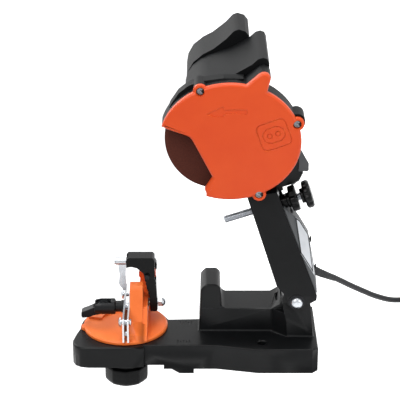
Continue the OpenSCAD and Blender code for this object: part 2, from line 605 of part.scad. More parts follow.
module guard_cover() {
  color("#e35a2e") difference() {
    union() {
      difference() {
        union() {
          xz(-18.6, guard_seam) guard_shape();
          xz(-20, -18) guard_shape(1.4);
          for (p = guard_ears) rod_y(-17, guard_seam, p[0], p[1], 7);
        }
        xz(-17.5, guard_seam + 1) polygon(ell(guard_cx, axis_z + 1, guard_a - 3, guard_b - 3, 96));
      }
      intersection() {
        for (p = guard_ears) rod_y(-17.6, guard_seam, p[0], p[1], 5.8);
        xz(-17.6, guard_seam) difference() {
          union() { polygon(ell(guard_cx, axis_z + 1, guard_a + 9, guard_b + 9, 96)); }
          translate([axis_x, axis_z]) circle(r = wheel_d / 2 + 2);
        }
      }
      // lip along the opening
      xz(-18, guard_seam) polygon([[-97, 253.5], [-73, 245], [-69, 240], [-49.8, 201.8], [-57, 189.5], [-53, 189.5],
        [-46.5, 201.5], [-66.5, 242], [-72, 247.3], [-96, 256]]);
      // raised emblem field
      translate([9.3, -20, 246.8]) rotate([0, -20, 0]) rotate([90, 0, 0]) linear_extrude(1) difference() {
        square([31, 29], center = true);
        for (a = [0 : 3]) rotate(a * 90) translate([15.5, 14.5]) rotate(45) square([7, 7], center = true);
      }
      translate([9.3, -20.9, 246.8]) rotate([0, -20, 0]) rotate([90, 0, 0]) linear_extrude(0.9) difference() {
        union() { translate([-5, 0]) circle(r = 6.6); translate([5, 0]) circle(r = 6.6); square([10, 13.2], center = true); }
        union() { translate([-5, 0]) circle(r = 3.4); translate([5, 0]) circle(r = 3.4); square([10, 6.8], center = true); }
      }
    }
    for (p = guard_ears) { rod_y(-30, -2, p[0], p[1], 1.75, 24); rod_y(-30, -15, p[0], p[1], 4.2); }
    // turning arrow
    xz(-21, -19.2) polygon([[-56.4, 268.1], [-40.2, 276.4], [-38.6, 272.3], [-16.8, 271.8], [-17.8, 267.4],
      [-38.6, 269.2], [-39.2, 265], [-48.8, 264.9]]);
  }
}
module guard_screws() {
  color("#2b2c2e") for (p = guard_ears) difference() {
    union() {
      rod_y(-15, 6.5, p[0], p[1], 1.72, 24);
      rod_y(-16.9, -15, p[0], p[1], 3.8);
    }
    rod_y(-18, -15.6, p[0], p[1], 1.9, 6);
  }
}

// ---- motor --------------------------------------------------------------------------------

module motor_housing() {
  color("#424345") difference() {
    xz(house_y, seam_y) polygon(housing_pts);
    xz(house_y + 3, seam_y + 1) difference() {
      polygon(housing_in);
      for (p = cap_screw_at) translate(p) circle(r = 4.5, $fn = 32);
    }
    for (p = cap_screw_at) rod_y(seam_y - 14, seam_y + 1, p[0], p[1], 1.61, 16);
    for (p = cap_screw_at) rod_y(house_y + 3, seam_y - 16, p[0], p[1], 4.6, 32);
    rod_y(0, 60, axis_x, axis_z, 7);
    for (i = [0 : 5]) box(-79, -74, 30 + i * 7, 33.5 + i * 7, 215, 238);
  }
  color("#424345") difference() {
    union() {
      rod_y(house_y + 1, house_y + 14, axis_x, axis_z, 15.5);
      // ribs that carry the stator
      intersection() {
        for (a = [45 : 90 : 315]) translate([axis_x, 0, axis_z]) rotate([0, a, 0])
          box(29.95, 80, 40, 86, -2, 2);
        xz(39, 87) polygon(housing_mid);
      }
    }
    rod_y(house_y + 3, house_y + 20, axis_x, axis_z, 13);
    rod_y(0, 60, axis_x, axis_z, 7);
  }
}
module motor_cap() {
  color("#3c3d40") difference() {
    xz(seam_y + 0.02, cap_y) polygon(cap_pts);
    xz(seam_y - 1, cap_y - 3) intersection() { polygon(cap_in); polygon(housing_in); }
    box(-58, -30, cap_y - 10, cap_y + 5, 262, 284);
    for (p = cap_screw_at) rod_y(seam_y - 1, cap_y + 1, p[0], p[1], 1.61, 16);
    for (i = [0 : 4]) for (s = [0, 1]) box(-64 + i * 9, -60 + i * 9, cap_y - 5, cap_y + 1, 222 + s * 12, 231 + s * 12);
  }
  color("#3c3d40") difference() {
    union() {
      rod_y(cap_y - 42, cap_y - 32, axis_x, axis_z, 14);
      xz(cap_y - 38, cap_y - 35) intersection() {
        polygon(cap_mid);
        translate([-90, 200]) square([100, 70]);
      }
      for (p = cap_screw_at) xz(seam_y + 2, cap_y - 2) intersection() {
        polygon(cap_mid);
        translate(p) circle(r = 4.6, $fn = 32);
      }
    }
    for (p = cap_screw_at) rod_y(seam_y - 1, cap_y + 1, p[0], p[1], 1.61, 16);
    rod_y(cap_y - 43, cap_y - 34, axis_x, axis_z, 11);
    rod_y(cap_y - 50, cap_y, axis_x, axis_z, 6.5);
  }
}
module cap_screws() {
  color("#8d9094") for (p = cap_screw_at) {
    rod_y(cap_y + 0.01, cap_y + 1.8, p[0], p[1], 3.2, 24);
    rod_y(seam_y - 12, cap_y + 0.1, p[0], p[1], 1.6, 16);
  }
}
module stator() {
  color("#8a8c90") difference() {
    rod_y(40, 84, axis_x, axis_z, 29.95, 72);
    rod_y(38, 90, axis_x, axis_z, 19.8, 72);
    for (s = [0, 180]) translate([axis_x, 0, axis_z]) rotate([0, s, 0]) box(14, 24, 38, 90, -6, 6);
  }
}
module brush_holders() {
  color("#a8884a") for (s = [-1, 1]) {
    rod_x(axis_x + (s > 0 ? 11.2 : -26), axis_x + (s > 0 ? 26 : -11.2), 105, axis_z, 4.2, 24);
    box(axis_x - 3 + s * 24, axis_x + 3 + s * 24, 98, cap_y - 38.05, axis_z - 7, axis_z + 7);
  }
}
module bearings() {
  color("#c9ccd0") for (q = [[house_y + 3.1, 13, 9], [cap_y - 41.5, 11, 7.4]]) difference() {
    rod_y(q[0], q[0] + q[2], axis_x, axis_z, q[1] - 0.01);
    rod_y(q[0] - 1, q[0] + q[2] + 1, axis_x, axis_z, shaft_r + fit);
  }
}
module motor_shaft() {
  color("#b4b7bb") { rod_y(-12.5, cap_y - 31.5, axis_x, axis_z, shaft_r); rod_y(5.65, 8, axis_x, axis_z, 6.5); }
}
module rotor_core() {
  color("#75777b") difference() {
    rod_y(40, 84, axis_x, axis_z, 19, 72);
    rod_y(30, 90, axis_x, axis_z, shaft_r);
    for (i = [0 : 11]) translate([axis_x, 0, axis_z]) rotate([0, i * 30, 0]) box(13.5, 20, 39, 85, -1.1, 1.1);
  }
}
module commutator() {
  color("#b87333") difference() {
    union() { rod_y(98, 112, axis_x, axis_z, 11); rod_y(84.1, 98.1, axis_x, axis_z, 13.5); }
    rod_y(80, 120, axis_x, axis_z, shaft_r);
  }
}
module fan() {
  color("#3a3b3d") difference() {
    union() {
      rod_y(27, 29, axis_x, axis_z, 28, 72);
      rod_y(27, 37, axis_x, axis_z, 9);
      for (i = [0 : 8]) translate([axis_x, 0, axis_z]) rotate([0, i * 40, 0]) box(8.5, 27.5, 28, 36.5, -0.9, 0.9);
    }
    rod_y(20, 40, axis_x, axis_z, shaft_r);
  }
}
module inner_flange() {
  color("#b4b7bb") difference() {
    union() { rod_y(wheel_t / 2, 5.6, axis_x, axis_z, 17); rod_y(-1.2, 2, axis_x, axis_z, wheel_bore / 2 - 0.02); }
    rod_y(-5, 10, axis_x, axis_z, shaft_r);
  }
}
module grinding_wheel() {
  color("#50281f") difference() {
    rod_y(-wheel_t / 2 + 0.02, wheel_t / 2 - 0.02, axis_x, axis_z, wheel_d / 2, 120);
    rod_y(-5, 5, axis_x, axis_z, wheel_bore / 2, 64);
  }
}
module outer_flange() {
  color("#b4b7bb") difference() {
    union() { rod_y(-4.6, -wheel_t / 2, axis_x, axis_z, 17); }
    rod_y(-9, 5, axis_x, axis_z, shaft_r);
  }
}
module arbor_nut() {
  color("#c9ccd0") difference() {
    rod_y(-10.6, -4.7, axis_x, axis_z, 9.2, 6);
    rod_y(-19, 5, axis_x, axis_z, shaft_r);
  }
}
module switch_body() {
  color("#1d1e20") difference() {
    union() {
      box(-57.9, -30.1, cap_y - 22, cap_y + 0.4, 262.1, 283.9);
      box(-60, -28, cap_y + 0.02, cap_y + 2, 260, 286);
    }
    box(-55, -33, cap_y - 16, cap_y + 5, 265, 281);
  }
}
module switch_rocker() {
  color("#b3201f") difference() {
    translate([-44, cap_y - 1, 273]) union() {
      intersection() {
        rotate([12, 0, 0]) translate([-10.7, -8, -7]) cube([21.4, 12.4, 14]);
        translate([-10.7, 0, 0]) rotate([0, 90, 0]) cylinder(h = 21.4, r = 7.6);
      }
    }
    rod_x(-60, -28, cap_y - 1, 273, 1.2, 16);
  }
}

// ---- depth screw --------------------------------------------------------------------------

screw_tip = 45.4;          // tip side of the arm, from the foot of the pivot line
module depth_collar() {
  color("#3a3b3d") on_screw() difference() {
    translate([0, 0, 12]) cylinder(h = 9, r = 7.2);
    translate([0, 0, 0]) cylinder(h = 40, r = screw_d / 2 + fit);
  }
}
module depth_screw() {
  color("#c9ccd0") on_screw() translate([0, 0, -screw_tip]) cylinder(h = screw_tip + 43.5, r = screw_d / 2);
}
module depth_knob() {
  color("#232326") on_screw() difference() {
    union() {
      translate([0, 0, 39]) lobed(14.4, 10, 0.9, 8.5);
      translate([0, 0, 36]) cylinder(h = 4, r = 7.5);
    }
    translate([0, 0, -10]) cylinder(h = 53.8, r = screw_d / 2 + fit);
  }
}
module depth_lock() {
  color("#232326") on_screw() difference() {
    union() {
      translate([0, 0, 24.4]) lobed(13.6, 6, 1.7, 8.2);
      translate([0, 0, 21.3]) cylinder(h = 4, r = 7.5);
    }
    translate([0, 0, 0]) cylinder(h = 60, r = screw_d / 2 + fit);
  }
}

// ---- cord ---------------------------------------------------------------------------------

gland_y = 22;
gland_z = 82.5;
route = smooth([[67, 26, 74], [80, 36, 64.5], [96, 48, 51], [112, 59, 38.5], [127, 70, 27], [146, 87, 14],
  [166, 105, 5.6], [188, 120.5, 3.2], [210, 126.5, 3.2]], 4);
gland_path = [[48, gland_y, gland_z], [55.8, gland_y, gland_z], [56.4, gland_y, gland_z], [59.6, 22.3, 80.2],
  [63.5, 23.35, 76.55], [66.75, 25.8, 74.2]];
module cord_gland() { color("#1f2022") sweep(gland_path, [4.6, 4.6, 5.6, 4.9, 4.2, 3.6], 16); }
module cord() { color("#2e2f31") sweep(route, [for (q = route) cord_d / 2], 12); }
coil_c = [210, 83.5];
module cord_coil() {
  color("#2e2f31") translate([coil_c[0], coil_c[1], 0]) rotate_extrude($fn = 64)
    polygon([[22, 0.2], [46, 0.2], [46, 10.5], [44.5, 12.2], [23.5, 12.2], [22, 10.5]]);
}
plug_c = [206, 50];
plug_z = 19;
module plug() {
  color("#232326") translate([plug_c[0], plug_c[1], 0]) rotate([0, 0, -90]) {
    translate([-9, -22, 12.4]) cube([18, 36, 13]);
    translate([0, 13.9, plug_z]) rotate([-90, 0, 0]) cylinder(h = 14, r = 4);
  }
}
module plug_pins() {
  color("#c9ccd0") translate([plug_c[0], plug_c[1], plug_z]) rotate([0, 0, -90])
    for (s = [-1, 1]) translate([s * 5, -38.2, 0]) rotate([-90, 0, 0]) cylinder(h = 16.1, r = 2, $fn = 24);
}

// ---- draw ---------------------------------------------------------------------------------

base_frame();
pivot_bolt();
pivot_nut();
return_spring();
swivel_table();
swivel_bolt();
fixed_rail();
rail_screws();
moving_rail();
rail_spacers();
clamp_rod();
clamp_barrel();
clamp_pin();
clamp_lever();
stop_arm();
stop_stud();
stud_knob();
stop_wheel();
guide_stud();
guide_spring();
dome_nut();
pawl_pin();
chain_stop();
lock_knob();
lock_washer();
swing_arm();
arm_cover();
rating_plate();
cover_screws();
guard_back();
guard_cover();
guard_screws();
motor_housing();
motor_cap();
cap_screws();
stator();
brush_holders();
bearings();
motor_shaft();
rotor_core();
commutator();
fan();
inner_flange();
grinding_wheel();
outer_flange();
arbor_nut();
switch_body();
switch_rocker();
depth_collar();
depth_screw();
depth_knob();
depth_lock();
cord_gland();
cord();
cord_coil();
plug();
plug_pins();
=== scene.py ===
# %% [markdown]
# # A bench sharpener for saw chains
#
# The real machine is a small electric grinder. A cast base is bolted to a bench, and its round nose
# overhangs the edge so that a lock knob can reach the turntable from below. The turntable carries a
# vise that grips the chain. A hinged head with a motor and a thin grinding wheel swings down to it.
# The CAD model already has every solid in place. This script gives each one its finish, and
# replaces the ones whose real shape is finer than a solid needs to be.

# %% Load the CAD frame
import json
import math
import bpy
import bmesh
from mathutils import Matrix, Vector


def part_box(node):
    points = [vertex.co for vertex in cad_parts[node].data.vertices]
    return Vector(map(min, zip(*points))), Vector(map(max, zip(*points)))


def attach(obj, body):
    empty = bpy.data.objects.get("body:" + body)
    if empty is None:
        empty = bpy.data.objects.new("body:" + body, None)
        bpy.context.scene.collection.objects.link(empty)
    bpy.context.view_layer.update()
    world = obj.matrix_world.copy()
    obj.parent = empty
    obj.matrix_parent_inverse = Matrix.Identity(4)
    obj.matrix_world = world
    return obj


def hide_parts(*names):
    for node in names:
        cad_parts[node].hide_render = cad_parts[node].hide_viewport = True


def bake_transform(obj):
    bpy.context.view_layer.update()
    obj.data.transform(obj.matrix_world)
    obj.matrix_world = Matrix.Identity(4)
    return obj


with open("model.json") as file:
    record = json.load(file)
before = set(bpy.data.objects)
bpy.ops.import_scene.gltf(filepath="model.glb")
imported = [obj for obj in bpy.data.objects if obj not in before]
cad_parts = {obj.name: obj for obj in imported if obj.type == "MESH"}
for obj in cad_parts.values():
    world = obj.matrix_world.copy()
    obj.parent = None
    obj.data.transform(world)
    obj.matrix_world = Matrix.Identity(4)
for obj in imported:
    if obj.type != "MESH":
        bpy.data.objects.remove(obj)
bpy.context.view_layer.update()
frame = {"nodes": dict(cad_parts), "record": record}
MM = 0.001

# %% [markdown]
# ## Camera
#
# The machine is seen from the wheel side, 23 degrees above the horizontal. A long lens keeps upright
# edges nearly parallel.

# %% Camera
camera_data = bpy.data.cameras.new("camera")
camera_data.lens = 144
camera_data.sensor_width = 36
camera = bpy.data.objects.new("camera", camera_data)
camera.location = (-0.063, -1.4818, 0.7984)
camera.rotation_euler = (math.radians(90 - 23), 0, 0)
bpy.context.scene.collection.objects.link(camera)
bpy.context.scene.camera = camera
bpy.context.scene.view_settings.view_transform = "Standard"
print("camera", tuple(round(c, 3) for c in camera.location))

# %% [markdown]
# ## Tubes along a line
#
# Cords, springs and threads are all one shape: a round or shaped section carried along a line.
# A small function places a ring of points at each step of the line, turned so that it never
# twists, and another joins the rings with quads.

# %% Lines and new pieces
def smooth_line(points, steps):
    """Catmull-Rom curve through the points, in mm."""
    line = []
    for i in range(len(points) - 1):
        a, b, c, d = (Vector(points[min(max(j, 0), len(points) - 1)]) for j in (i - 1, i, i + 1, i + 2))
        for k in range(steps):
            t = k / steps
            line.append(0.5 * (2 * b + (c - a) * t + (2 * a - 5 * b + 4 * c - d) * t * t
                               + (3 * b - a - 3 * c + d) * t ** 3))
    return line + [Vector(points[-1])]


def line_length(line):
    return sum((q - p).length for p, q in zip(line, line[1:]))


def new_piece(name, bm, smooth_angle=None):
    """Turns a bmesh made in millimetres into an object in metres."""
    bmesh.ops.scale(bm, vec=(MM, MM, MM), verts=bm.verts)
    mesh = bpy.data.meshes.new(name)
    bm.to_mesh(mesh)
    bm.free()
    piece = bpy.data.objects.new(name, mesh)
    bpy.context.scene.collection.objects.link(piece)
    if smooth_angle is not None:
        smooth(piece, smooth_angle)
    return piece


def smooth(piece, angle):
    """Smooth shading that keeps large flat faces flat and edges above the angle sharp."""
    piece.data.shade_smooth()
    piece.data.set_sharp_from_angle(angle=math.radians(angle))
    step = piece.modifiers.new("even_shading", "WEIGHTED_NORMAL")
    step.keep_sharp = True


print("a 10 mm line measures", round(line_length(smooth_line([(0, 0, 0), (10, 0, 0)], 4)), 3))

# %% A tube along a line
def join_rings(bm, rings):
    """Joins rings of equal count with quads and closes both ends."""
    for low, high in zip(rings, rings[1:]):
        for k in range(len(low)):
            j = (k + 1) % len(low)
            bm.faces.new((low[k], low[j], high[j], high[k]))
    bm.faces.new(rings[0][::-1])
    bm.faces.new(rings[-1])


def tube(bm, line, radii, sides):
    """Adds a closed tube; radii is one radius or one per point of the line."""
    radii = radii if hasattr(radii, "__len__") else [radii] * len(line)
    tangent = (line[1] - line[0]).normalized()
    across = tangent.orthogonal().normalized()
    rings = []
    for i, centre in enumerate(line):
        ahead = (line[min(i + 1, len(line) - 1)] - line[max(i - 1, 0)]).normalized()
        across = (across - ahead * across.dot(ahead)).normalized()
        up = ahead.cross(across)
        rings.append([bm.verts.new(centre + radii[i] * (math.cos(a) * across + math.sin(a) * up))
                      for a in (2 * math.pi * k / sides for k in range(sides))])
    join_rings(bm, rings)


print("tubes and rings ready")

# %% [markdown]
# ## The power cord
#
# A rubber-sheathed lead of 6 mm leaves the arm through a tapered sleeve, sinks under its own
# weight and reaches the bench. The rest of its 1.8 m is wound for storage in a flat coil of two
# layers beside the machine: an inward spiral on the bench, a step up, and an outward spiral on top.

# %% Cord: its line
CORD_WIDE = 6.0
CORD_EXIT = (57.4, 18.7, 80.95)
coil_middle = Vector((210, 83.5, 0))
falling = smooth_line([(67, 26, 74), (80, 36, 64.5), (96, 48, 51), (112, 59, 38.5), (127, 70, 27),
                       (146, 87, 14), (166, 105.3, 5.6), (188, 121.6, 3.2), (210, 127.6, 3.2)], 4)
cord_line = smooth_line([CORD_EXIT, (67, 26, 74)], 3)[:-1] + falling
FIRST_TURN, LAST_TURN, PITCH = 44.1, 23.1, 6.0
turns = (FIRST_TURN - LAST_TURN) / PITCH
quarter = 0.3
STEPS = 28
for step in range(1, int((2 * turns + quarter) * STEPS) + 1):
    turn = step / STEPS
    if turn < turns:
        radius, height = FIRST_TURN - PITCH * turn, 3.2
    elif turn < turns + quarter:
        part = (turn - turns) / quarter
        radius, height = LAST_TURN, 3.2 + 6.0 * (0.5 - 0.5 * math.cos(math.pi * part))
    else:
        radius, height = LAST_TURN + PITCH * (turn - turns - quarter), 9.25
    angle = math.pi / 2 - 2 * math.pi * turn
    cord_line.append(coil_middle + Vector((radius * math.cos(angle), radius * math.sin(angle), height)))
print("before the plug:", round(line_length(cord_line)), "mm; ends at", [round(c) for c in cord_line[-1]])

# %% Cord: the tube
PLUG_BACK = Vector((232.5, 50, 18.9))
last = cord_line[-1]
into_plug = [tuple(cord_line[-2]), tuple(last), (252.2, 66.5, 11.0), (244.5, 54.6, 16.0),
             tuple(PLUG_BACK), (222, 50, 18.9)]
cord_line += smooth_line(into_plug, 5)[6:]
bm = bmesh.new()
tube(bm, cord_line, CORD_WIDE / 2, 20)
cord = new_piece("power_cord", bm, 60)
measured = line_length(cord_line) * MM
print("cord measures", round(measured, 3), "m")

# %% [markdown]
# ## Bench, floor and light
#
# The base is bolted to a bench that ends well behind the round nose, so the lock knob hangs
# free below. Bench and floor are plain and pale. To the camera, and in mirror-like metal, both
# glow a little, so that they read as a white studio, while shadows stay on them.

# %% Colours and nodes
def linear(colour):
    """sRGB hex such as e8e4dc as linear RGBA."""
    parts = [int(colour[i:i + 2], 16) / 255 for i in (0, 2, 4)]
    return [c / 12.92 if c <= 0.04045 else ((c + 0.055) / 1.055) ** 2.4 for c in parts] + [1.0]


def add(tree, kind, inputs=None, **settings):
    """Adds one node: inputs are constants or sockets to link, by name or number."""
    made = tree.nodes.new("ShaderNode" + kind)
    for name, value in settings.items():
        setattr(made, name, value)
    for name, value in (inputs or {}).items():
        socket = made.inputs[name]
        if isinstance(value, bpy.types.NodeSocket):
            tree.links.new(value, socket)
        else:
            socket.default_value = value
    return made


def new_material(name):
    """An empty material and its node tree and output."""
    made = bpy.data.materials.new(name)
    made.use_nodes = True
    made.node_tree.nodes.clear()
    return made, made.node_tree, add(made.node_tree, "OutputMaterial")


print("mid grey is", round(linear("808080")[0], 3))

# %% Studio
def seen_directly(tree):
    """1 for rays from the camera, off a glossy surface or through a clear one, else 0."""
    path = add(tree, "LightPath").outputs
    seen = add(tree, "Math", {0: path["Is Camera Ray"], 1: path["Is Glossy Ray"]}, operation="MAXIMUM")
    seen = add(tree, "Math", {0: seen.outputs[0], 1: path["Is Transmission Ray"]}, operation="MAXIMUM")
    return seen.outputs[0]


def studio_white(name, glow):
    """A matt white board that also glows for seen_directly rays."""
    made, tree, out = new_material(name)
    strength = add(tree, "Math", {0: seen_directly(tree), 1: glow}, operation="MULTIPLY")
    light = add(tree, "Emission", {"Color": linear("ffffff"), "Strength": strength.outputs[0]})
    matt = add(tree, "BsdfDiffuse", {"Color": linear("e6e6e6")})
    both = add(tree, "AddShader", {0: light.outputs[0], 1: matt.outputs[0]})
    tree.links.new(both.outputs[0], out.inputs["Surface"])
    return made


def slab(name, low, high, material):
    """A box between two corners in mm, outside the object."""
    bm = bmesh.new()
    bmesh.ops.create_cube(bm, size=1)
    for v in bm.verts:
        v.co = Vector([low[i] if v.co[i] < 0 else high[i] for i in range(3)])
    made = new_piece(name, bm)
    made.data.materials.append(material)
    return made


studio = studio_white("painted_studio_board", 0.9)
BENCH_EDGE_X = -68.8
slab("bench_top", (BENCH_EDGE_X, -700, -28), (1500, 1500, 0), studio)
slab("floor", (-4000, -4000, -780), (4000, 4000, -760), studio)

world = bpy.data.worlds.new("studio")
bpy.context.scene.world = world
world.use_nodes = True
world.node_tree.nodes.clear()
soft = add(world.node_tree, "Background", {"Color": linear("f4f6fa"), "Strength": 0.4})
white = add(world.node_tree, "Background", {"Color": linear("ffffff"), "Strength": 1.0})
choice = add(world.node_tree, "MixShader",
             {0: seen_directly(world.node_tree), 1: soft.outputs[0], 2: white.outputs[0]})
add(world.node_tree, "OutputWorld", {"Surface": choice.outputs[0]})


def softbox(name, place, aim, size, power):
    """A rectangular lamp in metres and watts, turned to its aim."""
    lamp = bpy.data.lights.new(name, "AREA")
    lamp.shape, lamp.size, lamp.size_y, lamp.energy = "RECTANGLE", size[0], size[1], power
    made = bpy.data.objects.new(name, lamp)
    made.location = place
    made.rotation_euler = (Vector(aim) - Vector(place)).to_track_quat("-Z", "Y").to_euler()
    bpy.context.scene.collection.objects.link(made)


softbox("key", (-0.75, -0.95, 1.35), (-0.04, 0, 0.14), (0.9, 0.9), 15)
softbox("fill", (1.1, -0.8, 0.7), (-0.04, 0, 0.14), (0.8, 1.0), 6)
softbox("top", (0.05, 0.35, 1.5), (-0.04, 0, 0.14), (1.0, 0.8), 12)
softbox("rim", (-0.9, 0.9, 0.8), (-0.04, 0, 0.2), (0.7, 0.7), 7)

# %% [markdown]
# ## Finishes
#
# Nearly all surfaces here share one recipe. A slow noise varies the colour a little, a fine one is
# the grain of the mould or the casting, and a shader node that rounds edges tells where an edge
# is, so that the light line of a rounded edge lands there, and an edge colour: wear on the metals and the
# wheel, a painted highlight on the black casting and the orange moulding, a lighter edge on the grey cover.
# Each finish gets its own numbers, in millimetres, for its surface.

# %% The shared recipe
def noise(tree, place, size, detail, roughness):
    """Noise whose blobs are size mm wide."""
    settings = {"Vector": place, "Scale": 1 / (size * MM), "Detail": detail, "Roughness": roughness}
    return add(tree, "TexNoise", settings).outputs[0]


def ramp(tree, value, low, high, at_low=0.0, at_high=1.0):
    """Maps low..high of a value to at_low..at_high."""
    return add(tree, "MapRange", {0: value, 1: low, 2: high, 3: at_low, 4: at_high}).outputs[0]


def mixed(tree, share, first, second):
    """A colour between two, by share."""
    return add(tree, "Mix", {0: share, 6: first, 7: second}, data_type="RGBA").outputs[2]


def edge_wear_and_highlight(tree, place, rounded, amount):
    """A patchy mask of the edges: where the rounded normal leaves the shading normal."""
    shading = add(tree, "NewGeometry").outputs["Normal"]
    turned_away = add(tree, "VectorMath", {0: rounded, 1: shading}, operation="DOT_PRODUCT")
    rim = ramp(tree, turned_away.outputs["Value"], 0.97, 0.85)
    broken = ramp(tree, noise(tree, place, 3.2, 6.0, 0.7), 0.45, 0.62, 0.0, amount)
    return add(tree, "Math", {0: rim, 1: broken}, operation="MULTIPLY").outputs[0]


def finish(name, colour, other, rough=0.5, patch=30, grain=0.6, depth=0.02, metallic=0.0, wear_and_highlight_colour=None,
           wear_and_highlight_amount=0.0, edge=0.5, brushed=None, spread=0.08, **shader):
    """A surface: colour to other over patches, grain and edge sizes in mm, and an edge colour that is wear
    on some finishes and a painted highlight on others.
    """
    made, tree, out = new_material(name)
    place = add(tree, "TexCoord").outputs["Object"]
    grain_place = place
    if brushed:
        grain_place = add(tree, "Mapping", {"Vector": place, "Scale": brushed}).outputs[0]
    slow = noise(tree, place, patch, 5.0, 0.6)
    fine = noise(tree, grain_place, grain, 3.0, 0.55)
    tint = mixed(tree, ramp(tree, slow, 0.3, 0.7), linear(colour), linear(other))
    rounded = add(tree, "Bevel", {"Radius": edge * MM}, samples=4).outputs[0]
    # Edge colour: real wear on the metals, a painted highlight on the black casting and the orange
    # moulding.
    if wear_and_highlight_colour:
        tint = mixed(tree, edge_wear_and_highlight(tree, place, rounded, wear_and_highlight_amount), tint, linear(wear_and_highlight_colour))
    gloss = ramp(tree, fine, 0.25, 0.75, rough - spread, rough + spread)
    bump = add(tree, "Bump", {"Height": fine, "Distance": depth * MM, "Strength": 1.0, "Normal": rounded})
    surface = add(tree, "BsdfPrincipled", {"Base Color": tint, "Metallic": metallic, "Roughness": gloss,
                                           "Normal": bump.outputs[0], **shader})
    tree.links.new(surface.outputs[0], out.inputs["Surface"])
    return made


print("a patch of 30 mm needs a noise scale of", round(1 / (30 * MM), 1))

# %% [markdown]
# ## Castings and mouldings
#
# Cast aluminium is powder coated: the powder melts into a thick, faintly rippled skin, and the black coat's
# edges get a lighter grey painted on as their highlight. Mouldings take their gloss from the mould, from
# matt spark-eroded grey to a smooth black that shows the light in soft spots. The specular level of the
# blacks is set low, because the white studio all round would otherwise turn them grey.

# %% Coated and moulded finishes
# Powder coat, faintly rippled: a deep black with a soft sheen, and a lighter grey painted on the edges as
# their highlight.
black_casting = finish("powder_coated_aluminium", "0b0c0d", "121314", rough=0.34, patch=26, grain=0.8,
                       depth=0.04, wear_and_highlight_colour="3a3b3e", wear_and_highlight_amount=0.9, edge=0.9, **{"Specular IOR Level": 0.17})
# The same coat in orange, a little duller.
orange_casting = finish("orange_powder_coat", "fb7f3a", "f5742f", rough=0.42, patch=18, grain=0.7,
                        depth=0.04, edge=0.6, **{"Specular IOR Level": 0.35})
# Smooth moulded ABS: even and warm, with a lighter orange painted on the rims as their highlight.
orange_plastic = finish("moulded_orange_abs", "e35119", "dd4914", rough=0.38, patch=40, grain=0.5,
                        depth=0.012, wear_and_highlight_colour="ff8434", wear_and_highlight_amount=0.9, edge=0.9, IOR=1.53,
                        **{"Specular IOR Level": 0.3})
# Plain moulded black, as on handles and the switch.
black_plastic = finish("moulded_black_abs", "101113", "161719", rough=0.36, patch=25, grain=0.4,
                       depth=0.015, edge=0.5, IOR=1.53, **{"Specular IOR Level": 0.2})
# Nylon from a polished mould: nearly black, with small sharp lights on its lobes.
gloss_plastic = finish("glossy_black_nylon", "060707", "0b0c0d", rough=0.25, patch=15, grain=0.4,
                       depth=0.008, edge=0.5, IOR=1.53, **{"Specular IOR Level": 0.13})
# Nylon from a spark-eroded mould: a fine matt grain with hardly any highlight.
grey_plastic = finish("textured_grey_nylon", "0d0e0f", "121314", rough=0.46, patch=35, grain=0.45,
                      depth=0.03, edge=0.6, IOR=1.53, **{"Specular IOR Level": 0.08})
# Matt ABS, the lightest grey of the machine, a little lighter on its edges.
cover_plastic = finish("matt_grey_abs", "4b4d4f", "545658", rough=0.5, patch=30, grain=0.45, depth=0.02,
                       wear_and_highlight_colour="6d6f71", wear_and_highlight_amount=0.4, edge=0.8, IOR=1.53, **{"Specular IOR Level": 0.4})
# Rubber sheath: dull, with a slight grain from the extruder.
rubber = finish("rubber_cord_sheath", "1d1e20", "252628", rough=0.55, patch=14, grain=0.25, depth=0.01,
                edge=0.4, **{"Specular IOR Level": 0.35})
# Polished polycarbonate: a clear bright red.
red_switch = finish("polished_red_polycarbonate", "b3201c", "a81a18", rough=0.2, patch=12, grain=0.5,
                    depth=0.004, edge=0.6, IOR=1.58)
print("coated and moulded finishes:", len(bpy.data.materials) - 1)

# %% [markdown]
# ## Metals and the wheel
#
# A metal's look is nearly all reflection, so roughness matters more than colour. Plated screws are
# bright and a little cloudy, chrome is a mirror, machined faces keep fine tool marks. The grinding
# wheel is the opposite: corundum grains in a fired clay bond, dark red-brown and as dull as brick.

# %% Metal and stone finishes
# Zinc plate: bright, slightly cloudy, greyer on worn edges.
zinc = finish("bright_zinc_plate", "c6c9cd", "b1b5ba", rough=0.27, patch=6, grain=0.3, depth=0.006,
              metallic=1.0, wear_and_highlight_colour="8f9296", wear_and_highlight_amount=0.5, edge=0.25)
# Chrome: a mirror with a cool tint.
chrome = finish("chromed_steel", "d9dbde", "c9ccd0", rough=0.14, patch=9, grain=0.4, depth=0.003,
                metallic=1.0, edge=0.25, spread=0.05)
# Bare machined steel: a darker, softer shine.
steel = finish("machined_steel", "8b8e92", "76797d", rough=0.34, patch=4, grain=0.25, depth=0.006,
               metallic=1.0, wear_and_highlight_colour="5f6265", wear_and_highlight_amount=0.5, edge=0.2)
# Drawn wire, oiled: grey with thin bright lines.
spring_wire = finish("spring_steel_wire", "9b9ea3", "7c7f84", rough=0.3, patch=2, grain=0.2,
                     depth=0.004, metallic=1.0, edge=0.15)
# Black oxide: nearly black with a metal's shine, bare metal on its edges; on the guard screws it is also
# the painted shade of the sockets.
black_steel = finish("black_oxide_steel_and_socket_shade", "1e1f21", "2a2a2c", rough=0.34, patch=5, grain=0.3,
                     depth=0.008, metallic=0.85, wear_and_highlight_colour="7a7a7a", wear_and_highlight_amount=0.5, edge=0.25)
# Stacked sheets: fine lines across the motor's axis.
laminated = finish("laminated_electrical_steel", "7e8084", "64666a", rough=0.42, patch=8, grain=0.5,
                   depth=0.02, metallic=1.0, brushed=(0.06, 1.0, 0.06), edge=0.2)
# Copper bars polished by the brushes.
copper = finish("drawn_copper", "c47a54", "a9613d", rough=0.32, patch=4, grain=0.3, depth=0.01,
                metallic=1.0, edge=0.2)
